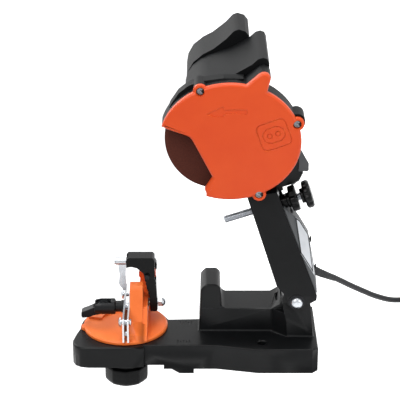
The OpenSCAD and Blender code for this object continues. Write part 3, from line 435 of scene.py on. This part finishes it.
# Anodised sheet under a printed lacquer: pale and even.
label_plate = finish("anodised_label_plate", "dfe2e5", "d5d8dc", rough=0.34, patch=12, grain=0.35,
                     depth=0.005, edge=0.3)
# Vitrified corundum: grains drawn about twice as coarse as real, so that they show.
abrasive = finish("vitrified_corundum", "55261a", "451d13", rough=0.86, patch=1.6, grain=0.5,
                  depth=0.22, wear_and_highlight_colour="6f3d2c", wear_and_highlight_amount=0.8, edge=0.6, **{"Specular IOR Level": 0.3})
print("all finishes:", len(bpy.data.materials) - 1)

# %% Which node has which finish
nodes_of = {
    black_casting: "base_frame swing_arm",
    orange_casting: "swivel_table",
    orange_plastic: "guard_cover stop_wheel",
    cover_plastic: "arm_cover",
    black_plastic: "clamp_lever clamp_barrel switch_body cord_gland plug fan brush_holders",
    gloss_plastic: "depth_knob depth_lock depth_collar stop_arm stud_knob lock_knob",
    grey_plastic: "motor_housing motor_cap guard_back",
    zinc: "pivot_bolt pivot_nut swivel_bolt rail_screws rail_spacers clamp_pin guide_stud dome_nut "
          "pawl_pin lock_washer depth_screw inner_flange outer_flange arbor_nut plug_pins chain_stop "
          "bearings motor_shaft clamp_rod",
    chrome: "fixed_rail moving_rail",
    spring_wire: "return_spring guide_spring",
    black_steel: "guard_screws cover_screws cap_screws stop_stud",
    laminated: "stator rotor_core",
    copper: "commutator",
    rubber: "cord cord_coil",
    red_switch: "switch_rocker",
    label_plate: "rating_plate",
    abrasive: "grinding_wheel",
}


def dress(piece, material):
    """Gives a piece one material."""
    piece.data.materials.clear()
    piece.data.materials.append(material)


for material, names in nodes_of.items():
    for name in names.split():
        dress(frame["nodes"][name], material)
missing = set(frame["nodes"]) - {n for names in nodes_of.values() for n in names.split()}
print("nodes without a finish:", sorted(missing))

# %% [markdown]
# ## Castings and mouldings with rounded edges
#
# A casting or a moulding never has a razor edge: metal or plastic leaves the mould with a radius
# of half a millimetre or more, and that radius draws the bright line along every corner. The
# solid has sharp edges, so a copy of it gets a real bevel. Flat faces are first joined again
# from their triangles, so that the bevel only finds true edges.

# %% Pieces that stand for nodes
body_of_node = {n: body for body, names in frame["record"]["behaviour"]["bodies"].items() for n in names}


def put(piece, material, *nodes):
    """Dresses a piece, hides the nodes it stands for and lets it ride where they ride."""
    dress(piece, material)
    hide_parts(*nodes)
    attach(piece, body_of_node[nodes[0]])
    return piece


def put_beside(piece, material, node, slot=None):
    """Dresses an extra piece that rides where a node rides, but hides nothing."""
    dress(piece, material)
    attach(piece, body_of_node[node])
    return piece


def opened(mesh, merge=0.004, flat_angle=1.0):
    """A bmesh of a mesh, in mm, with near points merged and flat faces joined; merge in mm."""
    bm = bmesh.new()
    bm.from_mesh(mesh)
    bmesh.ops.scale(bm, vec=(1 / MM,) * 3, verts=bm.verts)
    bmesh.ops.remove_doubles(bm, verts=bm.verts, dist=merge)
    bmesh.ops.dissolve_limit(bm, angle_limit=math.radians(flat_angle), verts=bm.verts, edges=bm.edges)
    return bm


print("nodes on bodies:", len(body_of_node))

# %% Rounding where there is room
def room_beside(edge):
    """Distance in mm from the middle of an edge to the nearest other edge of its two faces."""
    middle = (edge.verts[0].co + edge.verts[1].co) / 2
    along = (edge.verts[1].co - edge.verts[0].co).normalized()
    nearest = 1e9
    for face in edge.link_faces:
        for other in face.edges:
            if other is edge or set(other.verts) & set(edge.verts):
                continue
            a, b = other.verts[0].co, other.verts[1].co
            t = max(0.0, min(1.0, (middle - a).dot(b - a) / max((b - a).length_squared, 1e-9)))
            away = a + (b - a) * t - middle
            if abs(away.dot(along)) < 0.93 * away.length:
                nearest = min(nearest, away.length)
    return nearest


def round_edges(bm, width, angle=32, segments=3, chosen=None):
    """Bevels the sharp edges that have room for it; width in mm."""
    sharp = [e for e in bm.edges if len(e.link_faces) == 2 and e.calc_face_angle() > math.radians(angle)
             and (chosen is None or chosen(e))]
    roomy = [e for e in sharp if room_beside(e) > (1.5 if chosen else 2.2) * width]
    bmesh.ops.bevel(bm, geom=roomy, offset=width, segments=segments, profile=0.5, affect="EDGES",
                    clamp_overlap=chosen is None)
    return len(roomy)


def rounded_copy(node, width, material, first=(), moved=()):
    """A copy of a CAD node with rounded edges; first lists wider roundings, moved shifts corners in XZ."""
    bm = opened(frame["nodes"][node].data, flat_angle=1.2)
    for x, z, new_x, new_z in moved:
        for v in bm.verts:
            if abs(v.co.x - x) < 0.3 and abs(v.co.z - z) < 0.3:
                v.co.x, v.co.z = new_x, new_z
    for wide, segments, chosen in first:
        print("wide rounding on", round_edges(bm, wide, 20, segments, chosen), "edges of", node)
    round_edges(bm, width)
    piece = new_piece(node + "_formed", bm, 40)
    return put(piece, material, node)


print("an edge is rounded when its faces are 2.2 widths wide")

# %% Castings and housings
BLOCK_Z = 79.5
PLATE_Z = 27
# (x, z) corners of the block, and where they go so that its top is rounder.
BLOCK_CORNERS = [(-62.2, BLOCK_Z - 3, -62.3, BLOCK_Z - 5.4), (-60, BLOCK_Z, -57.3, BLOCK_Z),
                 (-44, BLOCK_Z, -45.6, BLOCK_Z), (-42, BLOCK_Z - 2, -41.9, BLOCK_Z - 4)]


def block_top(edge):
    """The long upper corners of the block that the depth screw lands on."""
    near, far = (v.co for v in edge.verts)
    high = all(c.z > 70 and -66 < c.x < -40 for c in (near, far))
    return high and abs(near.y - far.y) > 30


def casting_edge(edge):
    """The plate's upper edges, the block's front edges and the front edge of the saddle."""
    at = [v.co for v in edge.verts]
    plate = all(abs(c.z - PLATE_Z) < 0.3 for c in at)
    front = all(c.y < -9 and -65 < c.x < 12 and c.z > PLATE_Z - 1 for c in at)
    return plate or front


rounded_nodes = [
    ("swing_arm", 1.0, black_casting),
    ("swivel_table", 0.6, orange_casting),
    ("guard_back", 0.7, grey_plastic),
    ("arm_cover", 0.8, cover_plastic),
    ("motor_housing", 0.8, grey_plastic),
    ("motor_cap", 0.8, grey_plastic),
    ("stop_arm", 0.5, gloss_plastic),
    ("stud_knob", 0.5, gloss_plastic),
    ("stop_wheel", 0.4, orange_plastic),
    ("switch_body", 0.6, black_plastic),
    ("chain_stop", 0.3, zinc),
]
rounded_copy("base_frame", 1.1, black_casting, [(2.0, 5, block_top), (2.0, 4, casting_edge)], BLOCK_CORNERS)
for node, width, material in rounded_nodes:
    made = rounded_copy(node, width, material)
    print(node, "has", len(made.data.polygons), "faces")

# %% [markdown]
# ## Knobs and turned parts
#
# Knobs, bolt heads and the barrel are bodies of revolution: a short profile of radius and height,
# swept round an axis. A moulded knob also has grips, so its radius rises and falls with the angle
# where the profile is wide. Swept rings give the soft moulded edges without any cutting.

# %% A turned body
GRIP_FROM = 0.72


def turned(bm, foot, axis, profile, sides=48, grip=None):
    """Adds a closed body of revolution in mm; profile is (radius, height), grip scales wide radii."""
    axis = Vector(axis).normalized()
    across = Vector((0, 1, 0)) if abs(axis.y) < 0.5 else Vector((1, 0, 0))
    across = (across - axis * across.dot(axis)).normalized()
    up = axis.cross(across)
    widest = max(r for r, _ in profile)
    rings = []
    for radius, height in profile:
        ring = []
        for k in range(sides):
            angle = 2 * math.pi * k / sides
            r = radius
            if grip:
                share = max(0.0, (radius / widest - GRIP_FROM) / (1 - GRIP_FROM))
                r = radius * (1 + share * (grip(angle) - 1))
            outward = math.cos(angle) * across + math.sin(angle) * up
            ring.append(bm.verts.new(Vector(foot) + axis * height + r * outward))
        rings.append(ring)
    join_rings(bm, rings)


def facets(count, sharpness):
    """A grip of flat sides: 0 is round, 1 is a true polygon."""
    def grip(angle):
        part = (angle % (2 * math.pi / count)) - math.pi / count
        return 1 - sharpness * (1 - math.cos(math.pi / count) / math.cos(part))
    return grip


def lobes(count, depth, turn=0.0):
    """A grip of rounded lobes with narrow hollows between them, turned by an angle in degrees."""
    def grip(angle):
        return 1 - depth * (0.5 + 0.5 * math.cos(count * (angle + math.radians(turn)))) ** 3
    return grip


def turned_piece(name, foot, axis, profile, sides=48, grip=None, smooth_angle=40):
    """A piece that is one turned body."""
    bm = bmesh.new()
    turned(bm, foot, axis, profile, sides, grip)
    return new_piece(name, bm, smooth_angle)


print("a ten-sided grip narrows to", round(facets(10, 1.0)(0.0), 3))

# %% Knobs
PIVOT = (35, 9.0, 69)
TILT = math.radians(18.6)
SCREW_ARM = 94.4
screw_axis = Vector((math.cos(TILT), 0, math.sin(TILT)))
screw_foot = Vector((PIVOT[0] - SCREW_ARM * math.sin(TILT), PIVOT[1],
                     PIVOT[2] + SCREW_ARM * math.cos(TILT)))
depth_profile = [(5.0, 35.9), (7.2, 36.0), (7.6, 36.6), (7.7, 38.6), (9.0, 39.3), (12.8, 39.6),
                 (14.0, 40.4), (14.4, 41.8), (14.4, 44.4), (13.9, 46.0), (12.6, 47.0), (9.5, 47.5),
                 (5.0, 47.6)]
lock_profile = [(5.0, 21.2), (7.2, 21.3), (7.6, 21.9), (7.7, 24.2), (9.4, 24.7), (12.4, 24.9), (13.3, 25.6),
                (13.6, 26.8), (13.6, 30.6), (13.0, 31.9), (11.6, 32.5), (5.0, 32.6)]
grip_profile = [(16, 3.0), (18.8, 3.2), (19.3, 3.9), (19.3, 13.6), (21.2, 14.3), (22.6, 15.4), (23.2, 17.0),
                (23.2, 28.6), (22.8, 30.6), (21.6, 32.4), (19.6, 33.6), (16, 34.0)]
TABLE_X = -140.2
knobs = [("depth_knob", screw_foot, screw_axis, depth_profile, lobes(9, 0.1)),
         ("depth_lock", screw_foot, screw_axis, lock_profile, lobes(7, 0.15, 12)),
         ("lock_knob", (TABLE_X, 0, 0), (0, 0, -1), grip_profile, facets(10, 0.75))]
for node, foot, axis, profile, grip in knobs:
    put(turned_piece(node + "_moulding", foot, axis, profile, 120, grip, 45), gloss_plastic, node)
print("knobs moulded round", [round(c, 1) for c in screw_foot])

# %% Rail fasteners
RAIL_PINS_Z = 48
rivet_profile = [(1.4, 0.0), (3.6, 0.5), (4.8, 1.3), (5.2, 2.2), (5.2, 2.7), (3.7, 2.8), (3.7, 3.1),
                 (2.35, 3.15), (2.35, 11.7), (3.6, 11.8), (3.8, 12.2), (3.4, 12.9), (1.6, 13.3)]
for name, y, place in (("near", -32, put), ("far", 32, put_beside)):
    spacer = turned_piece("rail_spacer_" + name, (-146.1, y, RAIL_PINS_Z), (1, 0, 0), rivet_profile, 36)
    place(spacer, zinc, "rail_spacers")
print("rail fasteners turned")

# %% Guard screws
HEAD_R = 3.8
screw_profile = [(1.6, -6.5), (1.72, -6.2), (1.72, 15.0), (3.7, 15.05), (HEAD_R, 15.4), (HEAD_R, 16.3),
                 (3.3, 16.85), (2.7, 16.9), (2.5, 16.7), (2.4, 15.7), (1.0, 15.6), (0.95, 16.4),
                 (0.7, 16.55)]
solid_screws = []
for vertex in frame["nodes"]["guard_screws"].data.vertices:
    at = Vector((vertex.co.x, vertex.co.z)) / MM
    near = [points for points in solid_screws if (points[0] - at).length < 9]
    if near:
        near[0].append(at)
    else:
        solid_screws.append([at])
bm = bmesh.new()
for points in solid_screws:
    middle = [(min(p[i] for p in points) + max(p[i] for p in points)) / 2 for i in (0, 1)]
    turned(bm, (middle[0], 0, middle[1]), (0, -1, 0), screw_profile, 36)
screws = put(new_piece("guard_screws_turned", bm, 35), black_steel, "guard_screws")
print(len(solid_screws), "guard screws")

# %% Bright faces of the screw heads, and their sockets painted dark as shade
# Faces at the front of each head that lie more than 2.6 mm or less than 0.8 mm from the first point of its
# solid turn bright steel. The rest keep the black oxide, so the hex socket and the foot of the head in its
# recess are painted dark as their shade.
screws.data.materials.append(steel)
bright = 0
for face in screws.data.polygons:
    at = Vector((face.center.x, face.center.z)) / MM
    away = min((at - points[0]).length for points in solid_screws)
    if face.center.y < -15.6 * MM and (away > 2.6 or away < 0.8):
        face.material_index = 1
        bright += 1
print(bright, "bright faces")

# %% [markdown]
# ## Pivot bolt
#
# The hinge turns on one long bolt with a plain domed head, zinc plated, on a thin dark washer.
# The dome is turned from a few rings, so the light slides over it in one soft spot.

# %% Pivot bolt
low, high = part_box("pivot_bolt")
bolt_front, bolt_back = low[1] / MM, high[1] / MM
bolt_length = bolt_back - bolt_front
bolt_profile = [(1.2, 0.0), (3.2, 0.35), (4.7, 1.1), (5.6, 2.1), (5.9, 3.2), (5.9, 5.3), (4.0, 5.35),
                (4.0, bolt_length - 0.6), (3.4, bolt_length)]
washer_profile = [(4.1, 0.0), (7.5, 0.0), (7.8, 0.2), (7.8, 0.8), (4.1, 0.88)]
head_end = (PIVOT[0], bolt_front, PIVOT[2])
washer_end = (PIVOT[0], bolt_front + 4.75, PIVOT[2])
put(turned_piece("pivot_bolt_turned", head_end, (0, 1, 0), bolt_profile), zinc, "pivot_bolt")
washer = turned_piece("pivot_washer", washer_end, (0, 1, 0), washer_profile)
put_beside(washer, black_steel, "pivot_bolt", "black_steel")
print("bolt spans", round(bolt_front, 1), "to", round(bolt_back, 1), "mm")

# %% [markdown]
# ## Prisms and cuts
#
# A flat shape is drawn as an outline seen from the wheel side and given a thickness. An exact cut
# takes one closed piece out of another, or joins the two, and the sharp edges are rounded after it.

# %% Cutting one piece with another
def cut(piece, cutter, operation="DIFFERENCE"):
    """Applies an exact boolean between two objects and removes the cutter."""
    step = piece.modifiers.new("cut", "BOOLEAN")
    step.operation, step.solver, step.object = operation, "EXACT", cutter
    bpy.context.view_layer.update()
    graph = bpy.context.evaluated_depsgraph_get()
    made = bpy.data.meshes.new_from_object(piece.evaluated_get(graph))
    piece.modifiers.clear()
    piece.data = made
    bpy.data.objects.remove(cutter)
    return piece


def prism(bm, outline, low_y, high_y):
    """A closed prism along Y from a list of (x, z) points in mm."""
    near = [bm.verts.new((x, low_y, z)) for x, z in outline]
    far = [bm.verts.new((x, high_y, z)) for x, z in outline]
    count = len(outline)
    bm.faces.new(near)
    bm.faces.new(far[::-1])
    for k in range(count):
        bm.faces.new((near[k], far[k], far[(k + 1) % count], near[(k + 1) % count]))
    bmesh.ops.recalc_face_normals(bm, faces=bm.faces)


def prism_piece(name, outline, low_y, high_y):
    """A piece that is one prism, with flat faces."""
    bm = bmesh.new()
    prism(bm, outline, low_y, high_y)
    return new_piece(name, bm)


def rounded_from(piece, name, width):
    """Rounds the edges of a cut piece and returns the new object."""
    bm = opened(piece.data)
    round_edges(bm, width)
    bpy.data.objects.remove(piece)
    return new_piece(name, bm, 40)


print("prisms and cuts ready")

# %% [markdown]
# ## Web and lip
#
# Two thin details have no solid of their own: a web that closes the front of the hinge slot in
# the base, and the lip along the upper edge of the arm cover.

# %% Web in front of the hinge slot
WEB_X = (13.6, 20.4)
web_outline = [(WEB_X[0], 52.0), (17.9, 57.6), (WEB_X[1], 61.0), (WEB_X[1], 50.0), (WEB_X[0], 50.0)]
bm = bmesh.new()
prism(bm, web_outline, -0.2, 18.2)
put_beside(new_piece("ramp_web", bm, 40), black_casting, "base_frame")
print("web closes the slot from", WEB_X[0], "to", WEB_X[1], "mm")

# %% Upper edge of the arm cover
lip_outline = [(36.2, 219.5), (38.4, 218.5), (46.4, 204.0), (46.6, 197.2), (45.4, 195.4), (36.2, 195.4)]
bm = bmesh.new()
prism(bm, lip_outline, 12.3, 13.96)
round_edges(bm, 0.4)
lip = put_beside(new_piece("arm_cover_lip", bm, 40), cover_plastic, "arm_cover")
print("the cover ends in a lip of", len(lip.data.polygons), "faces")

# %% [markdown]
# ## Clamp barrel and lever
#
# The chain is clamped by a lever with an eccentric fork, pinned through a moulded barrel. The
# barrel is round with one slot for the fork. A round bar with its slot cut through is easiest as
# a turned body minus a prism, and the lever is a flat blade on two thin cheeks.

# %% Barrel
CLAMP_Z = 50
barrel_profile = [(5.6, 0.0), (6.9, 0.3), (7.5, 1.2), (8.3, 6.0), (8.4, 7.0), (8.4, 20.2), (8.0, 21.2),
                  (6.6, 21.6), (5.8, 22.0), (5.8, 27.6), (6.6, 27.8), (6.6, 30.2)]
slot_outline = [(-174, 38), (-155.8, 38), (-154.9, 40), (-154.9, 60), (-155.8, 62), (-174, 62)]
barrel = turned_piece("barrel_round", (-172, 0, CLAMP_Z), (1, 0, 0), barrel_profile, 64, smooth_angle=None)
barrel = cut(barrel, prism_piece("slot_cutter", slot_outline, -5.3, 5.3))
barrel = put(rounded_from(barrel, "clamp_barrel_moulding", 0.35), black_plastic, "clamp_barrel")
print("barrel has", len(barrel.data.polygons), "faces")

# %% Lever
PIN_X, EYE_R = -163, 6.1
eye = [(PIN_X + EYE_R * math.cos(math.radians(a)), CLAMP_Z + EYE_R * math.sin(math.radians(a)))
       for a in range(-88, 91, 11)]
blade = [(-172, 51.2), (-178, 48.4), (-184.6, 45.9), (-185.8, 44.6), (-185.8, 40.2), (-184.6, 38.8),
         (-178, 39.6), (-172, 42.2)]
between_cheeks = [(-173.4, 30), (-150, 30), (-150, 66), (-173.4, 66)]
lever = prism_piece("lever_block", eye + blade, -5.0, 5.0)
lever = cut(lever, prism_piece("fork_cutter", between_cheeks, -3.8, 3.8))
lever = put(rounded_from(lever, "clamp_lever_moulding", 0.6), black_plastic, "clamp_lever")
print("lever has", len(lever.data.polygons), "faces")

# %% [markdown]
# ## The wheel guard's front cover
#
# The cover is a moulded shell in orange ABS. Its front edge has a wide soft radius that catches
# the light, three ears carry sunk screws, and an arrow and a plain chain link are pressed into its face.
# A flat outline is drawn first with exact cuts; insets of the front face then make the soft
# radius, one small step after another, and the last cuts press in the marks.

# %% Cover outline
AXIS = (-44.0, 237.0)
WHEEL_R = 54.0
SEAM, FACE = -13.5, -20.0


def ellipse(middle, half_w, half_h, count):
    """Points round an ellipse in XZ."""
    angles = (2 * math.pi * k / count for k in range(count))
    return [(middle[0] + half_w * math.cos(a), middle[1] + half_h * math.sin(a)) for a in angles]


def from_axis(angle, clear):
    """A point beyond the wheel's rim, by its angle in degrees and clearance in mm."""
    a, reach = math.radians(angle), WHEEL_R + clear
    return AXIS[0] + reach * math.cos(a), AXIS[1] + reach * math.sin(a)


def flat_piece(outline):
    """A thin plate of an outline, for flat cuts."""
    return prism_piece("flat_outline", outline, SEAM - 2, SEAM)


ears = [from_axis(109.36, 2.71), from_axis(14.53, 24.51), from_axis(-53.93, 13.43)]
oval = ellipse((-33.3, AXIS[1] + 1), WHEEL_R + 15.9, WHEEL_R + 6.5, 160)
fin = [(-26, 285), (-22.6, 290.6), (-19.3, 296), (-12, 302.3), (-6.2, 307.4), (-3.4, 309.2), (-0.4, 309.6),
       (2.4, 308.8), (4.6, 306.4), (5.4, 303.3), (3, 294), (1, 285)]
opening = [(-112, 255), (-98.5, 254), (-95.8, 252.2), (-75.4, 244.9), (-73, 243.4), (-70.6, 240.4),
           (-50.9, 202), (-50.7, 201), (-58.1, 189.4), (-58.2, 188), (-56.9, 184.3), (-56.5, 165),
           (-112, 165)]
shape = cut(flat_piece(oval), flat_piece(fin), "UNION")
shape = cut(shape, flat_piece(opening))
bm = opened(shape.data, merge=0.05, flat_angle=0.5)
bpy.data.objects.remove(shape)
front = max((f for f in bm.faces if f.normal.y < -0.9), key=lambda f: f.calc_area())
outline = [(v.co.x, v.co.z) for v in front.verts]
bm.free()
face_width = max(x for x, _ in outline) - min(x for x, _ in outline)
print("outline of", len(outline), "points, face of", round(face_width), "mm")

# %% Drawing an outline in
def drawn_in(points, distance):
    """Moves an outline inwards by a distance in mm; sharp corners move at most twice as far."""
    count, moved = len(points), []
    area = 0
    for k in range(count):
        (x, z), (next_x, next_z) = points[k], points[(k + 1) % count]
        area += x * next_z - next_x * z
    side = 1 if area > 0 else -1
    for k in range(count):
        here = Vector(points[k])
        before = (here - Vector(points[k - 1])).normalized()
        after = (Vector(points[(k + 1) % count]) - here).normalized()
        inward = side * (Vector((-before.y, before.x)) + Vector((-after.y, after.x)))
        inward = inward.normalized() if inward.length > 1e-6 else Vector((0, 0))
        reach = distance / max(0.5, inward.dot(side * Vector((-after.y, after.x))))
        moved.append(tuple(here + inward * reach))
    return moved


thinned = []
for point in outline:
    if not thinned or (Vector(point) - Vector(thinned[-1])).length > 0.9:
        thinned.append(point)
print(len(outline) - len(thinned), "close points left out")

# %% Cover shell
bm = bmesh.new()
soft_radius = [(0.0, FACE + 2.6), (0.3, FACE + 1.6), (0.9, FACE + 0.8), (1.7, FACE + 0.3), (2.8, FACE)]
levels = [(0.0, SEAM)] + soft_radius
rings = [[bm.verts.new((x, y, z)) for x, z in drawn_in(thinned, inward)] for inward, y in levels]
join_rings(bm, rings)
bmesh.ops.recalc_face_normals(bm, faces=bm.faces)
cover = new_piece("cover_plate", bm)
ear_profile = [(7.0, 0.0), (7.0, 3.0), (6.6, 3.9), (5.8, 4.5)]
for x, z in ears:
    ear = turned_piece("ear", (x, SEAM, z), (0, -1, 0), ear_profile, 40, smooth_angle=None)
    cover = cut(cover, ear, "UNION")
print("cover plate has", len(cover.data.polygons), "faces")

# %% Grooves
GROOVE = 0.7
EMBLEM = (9.3, 246.8)
EMBLEM_TURN = math.radians(20)


def rounded_rectangle(half_w, half_h, corner, count=12):
    """A rounded rectangle as points about the origin."""
    points = []
    for q in range(4):
        cx = (half_w - corner) * (1 if q in (0, 3) else -1)
        cz = (half_h - corner) * (1 if q in (0, 1) else -1)
        for k in range(count + 1):
            a = math.radians(90 * q + 90 * k / count)
            points.append((cx + corner * math.cos(a), cz + corner * math.sin(a)))
    return points


def on_cover(x, z):
    """A point of the emblem, placed on the cover."""
    cos, sin = math.cos(EMBLEM_TURN), math.sin(EMBLEM_TURN)
    return EMBLEM[0] + x * cos - z * sin, EMBLEM[1] + x * sin + z * cos


def groove_between(outer, inner):
    """A cutter for the groove between two outlines of the emblem."""
    bm = bmesh.new()
    walls = []
    for outline_points in (outer, inner):
        placed = [on_cover(x, z) for x, z in outline_points]
        near = [bm.verts.new((x, FACE - 1, z)) for x, z in placed]
        far = [bm.verts.new((x, FACE + GROOVE, z)) for x, z in placed]
        walls.append((near, far))
    (near_out, far_out), (near_in, far_in) = walls
    count = len(near_out)
    for k in range(count):
        j = (k + 1) % count
        bm.faces.new((near_out[k], near_out[j], near_in[j], near_in[k]))
        bm.faces.new((far_out[k], far_in[k], far_in[j], far_out[j]))
        bm.faces.new((near_out[k], far_out[k], far_out[j], near_out[j]))
        bm.faces.new((near_in[k], near_in[j], far_in[j], far_in[k]))
    bmesh.ops.recalc_face_normals(bm, faces=bm.faces)
    return new_piece("groove", bm)


print("emblem on the cover at", [round(c, 1) for c in on_cover(0, 0)])

# %% Marks pressed into the cover
arrow = [(-56.4, 268.1), (-41.6, 275.9), (-40.4, 275.8), (-39.2, 272.4), (-28, 273.2), (-17.2, 272.4),
         (-16.6, 271.6), (-17.6, 267.8), (-28, 268.9), (-39.0, 268.4), (-39.8, 265.4), (-48.8, 265.1)]
cover = cut(cover, prism_piece("arrow_cutter", arrow, FACE - 1, FACE + 0.8))
square = (rounded_rectangle(15.4, 14.4, 6), rounded_rectangle(14.4, 13.4, 5))
link = (rounded_rectangle(11.4, 8.2, 8.1), rounded_rectangle(10.5, 7.3, 7.2))
rivets = [(ellipse((side, 0), 2.9, 2.9, 24), ellipse((side, 0), 2.0, 2.0, 24)) for side in (-4.2, 4.2)]
for outer, inner in [square, link] + rivets:
    cover = cut(cover, groove_between(outer, inner))
recess_profile = [(4.2, 0.0), (4.2, 15.0)]
for x, z in ears:
    recess = turned_piece("screw_recess", (x, -30, z), (0, 1, 0), recess_profile, 40, smooth_angle=None)
    cover = cut(cover, recess)
cover.name = "guard_cover_moulding"
smooth(cover, 38)
put(cover, orange_plastic, "guard_cover")
print("marked cover has", len(cover.data.polygons), "faces")

# %% [markdown]
# ## Rating plate
#
# A thin anodised plate is glued to the slanted side of the arm cover. Its border is printed dark, and the
# field inside is left blank.

# %% Plate with its border
BORDER = 1.3
bm = opened(frame["nodes"]["rating_plate"].data)
bm.normal_update()
shown = [f for f in bm.faces if f.normal.x > 0.3 and f.calc_area() > 60]
inset = bmesh.ops.inset_region(bm, faces=shown, thickness=BORDER, use_even_offset=True, use_boundary=True)
border = inset["faces"]
printed = [f.calc_center_median() * MM for f in border]
plate = put(new_piece("rating_plate_printed", bm, 30), label_plate, "rating_plate")
plate.data.materials.append(black_plastic)
for face in plate.data.polygons:
    if any((face.center - at).length < 1e-5 for at in printed):
        face.material_index = 1
print(len(shown), "shown faces,", len(printed), "border faces")

# %% [markdown]
# ## Springs and threads
#
# Wire springs are a helix of round wire. A rolled screw thread is a helix too: its crest runs
# round the rod once in every 1.25 mm. Both are only hinted at in the solids.

# %% Springs
def helix(middle, axis, side, radius, start, end, turns, steps=20):
    """Points round an axis, in mm, with flat first and last half turns."""
    axis, side = Vector(axis).normalized(), Vector(side).normalized()
    third = axis.cross(side)
    count = int(turns * steps)
    line = []
    for i in range(count + 1):
        turn = i / steps
        part = min(max((turn - 0.5) / (turns - 1), 0), 1)
        angle = 2 * math.pi * turn
        line.append(Vector(middle) + axis * (start + (end - start) * part)
                    + radius * (math.cos(angle) * side + math.sin(angle) * third))
    return line


bm = bmesh.new()
coil = helix(PIVOT, (0, 1, 0), (1, 0, 0), 8.6, -5.7, 5.7, 5.8)
leg = [Vector((x, 3.3, z)) for x, z in ((47.3, 56.75), (46.2, 59.8), (44.8, 63.8), (44.0, 66.6))]
tube(bm, leg + coil, 1.0, 14)
put(new_piece("return_spring_wire", bm, 60), spring_wire, "return_spring")
bm = bmesh.new()
tube(bm, helix((-118.55, 15, 47.5), (1, 0, 0), (0, 0, 1), 3.6, -2.3, 2.3, 4.0), 0.75, 12)
put(new_piece("guide_spring_wire", bm, 60), spring_wire, "guide_spring")
print("springs wound")

# %% Threads
def threaded_rod(bm, start, direction, length, radius, pitch, sides=24, cham=1.0):
    """A rod with a rolled thread; mm."""
    direction = Vector(direction).normalized()
    across = direction.orthogonal().normalized()
    up = direction.cross(across)
    per_turn = 6
    rings = []
    rows = int(length / pitch * per_turn)
    for i in range(rows + 1):
        t = i * length / rows
        ring = []
        for k in range(sides):
            angle = 2 * math.pi * k / sides
            phase = (t / pitch - k / sides) % 1.0
            crest = 1 - abs(2 * phase - 1)
            r = radius - 0.55 * pitch * (1 - min(1, crest * 1.25))
            r = min(r, radius - cham + min(t, length - t))
            outward = math.cos(angle) * across + math.sin(angle) * up
            ring.append(bm.verts.new(Vector(start) + direction * t + r * outward))
        rings.append(ring)
    join_rings(bm, rings)


bm = bmesh.new()
SCREW_TIP, SCREW_LENGTH = 45.4, 88.9
threaded_rod(bm, screw_foot - screw_axis * SCREW_TIP, screw_axis, SCREW_LENGTH, 4.0, 1.25)
put(new_piece("depth_screw_thread", bm, 35), zinc, "depth_screw")
print("thread cut, screw foot at", [round(c, 1) for c in screw_foot])

# %% [markdown]
# ## Cord gland and plug
#
# The sleeve keeps the cord from kinking where it enters the arm. It tapers and has rings cut into
# it, so it bends more easily towards its tip. The plug is one moulding around two pins.

# %% Sleeve
SOLID_PART = 10
RING_WIDTH_SHARE = 0.36
sleeve_line = smooth_line([(48, 20, 82.6), (54.5, 19.6, 82.3), (59.2, 20.4, 79.9), (64, 23.7, 76.3),
                           (67, 26, 74), (73.2, 30.7, 69.4), (78.5, 34.8, 65.6)], 8)
whole = line_length(sleeve_line)
radii, gone = [], 0.0
for i, point in enumerate(sleeve_line):
    gone += (point - sleeve_line[i - 1]).length if i else 0
    taper = 4.4 - 1.1 * max(0, gone - SOLID_PART) / (whole - SOLID_PART)
    in_ring = gone > 13 and (gone * 0.45) % 1 < RING_WIDTH_SHARE
    radii.append(taper - (0.5 if in_ring else 0))
bm = bmesh.new()
tube(bm, sleeve_line, radii, 24)
put(new_piece("cord_sleeve", bm, 50), rubber, "cord_gland")
print("sleeve", round(whole), "mm long")

# %% Plug
PLUG_SIDES = 32
PLUG_MIDDLE = (50, 18.9)
# Stations along X, each with half the width and half the height of a rounded section.
sections = [(184.0, 4.2, 3.4), (184.2, 8.2, 5.8), (186, 8.9, 6.4), (196, 8.8, 6.4), (206, 7.8, 6.0),
            (213, 6.6, 5.6), (218, 5.4, 5.0), (220, 4.4, 4.3), (226, 4.1, 4.1), (233.6, 3.6, 3.6),
            (234, 3.2, 3.2)]


def swollen(value):
    """A cosine or sine pushed outwards, so that a circle becomes a soft square."""
    return math.copysign(abs(value) ** 0.6, value)


bm = bmesh.new()
rings = []
for x, half_w, half_h in sections:
    angles = [2 * math.pi * k / PLUG_SIDES for k in range(PLUG_SIDES)]
    rings.append([bm.verts.new((x, PLUG_MIDDLE[0] + half_w * swollen(math.cos(a)),
                                PLUG_MIDDLE[1] + half_h * swollen(math.sin(a)))) for a in angles])
join_rings(bm, rings)
bmesh.ops.recalc_face_normals(bm, faces=bm.faces)
plug = put(new_piece("moulded_plug", bm, 50), rubber, "plug")
print("plug has", len(plug.data.polygons), "faces")

# %% Cord: its finish
dress(cord, rubber)
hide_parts("cord", "cord_coil")
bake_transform(cord)
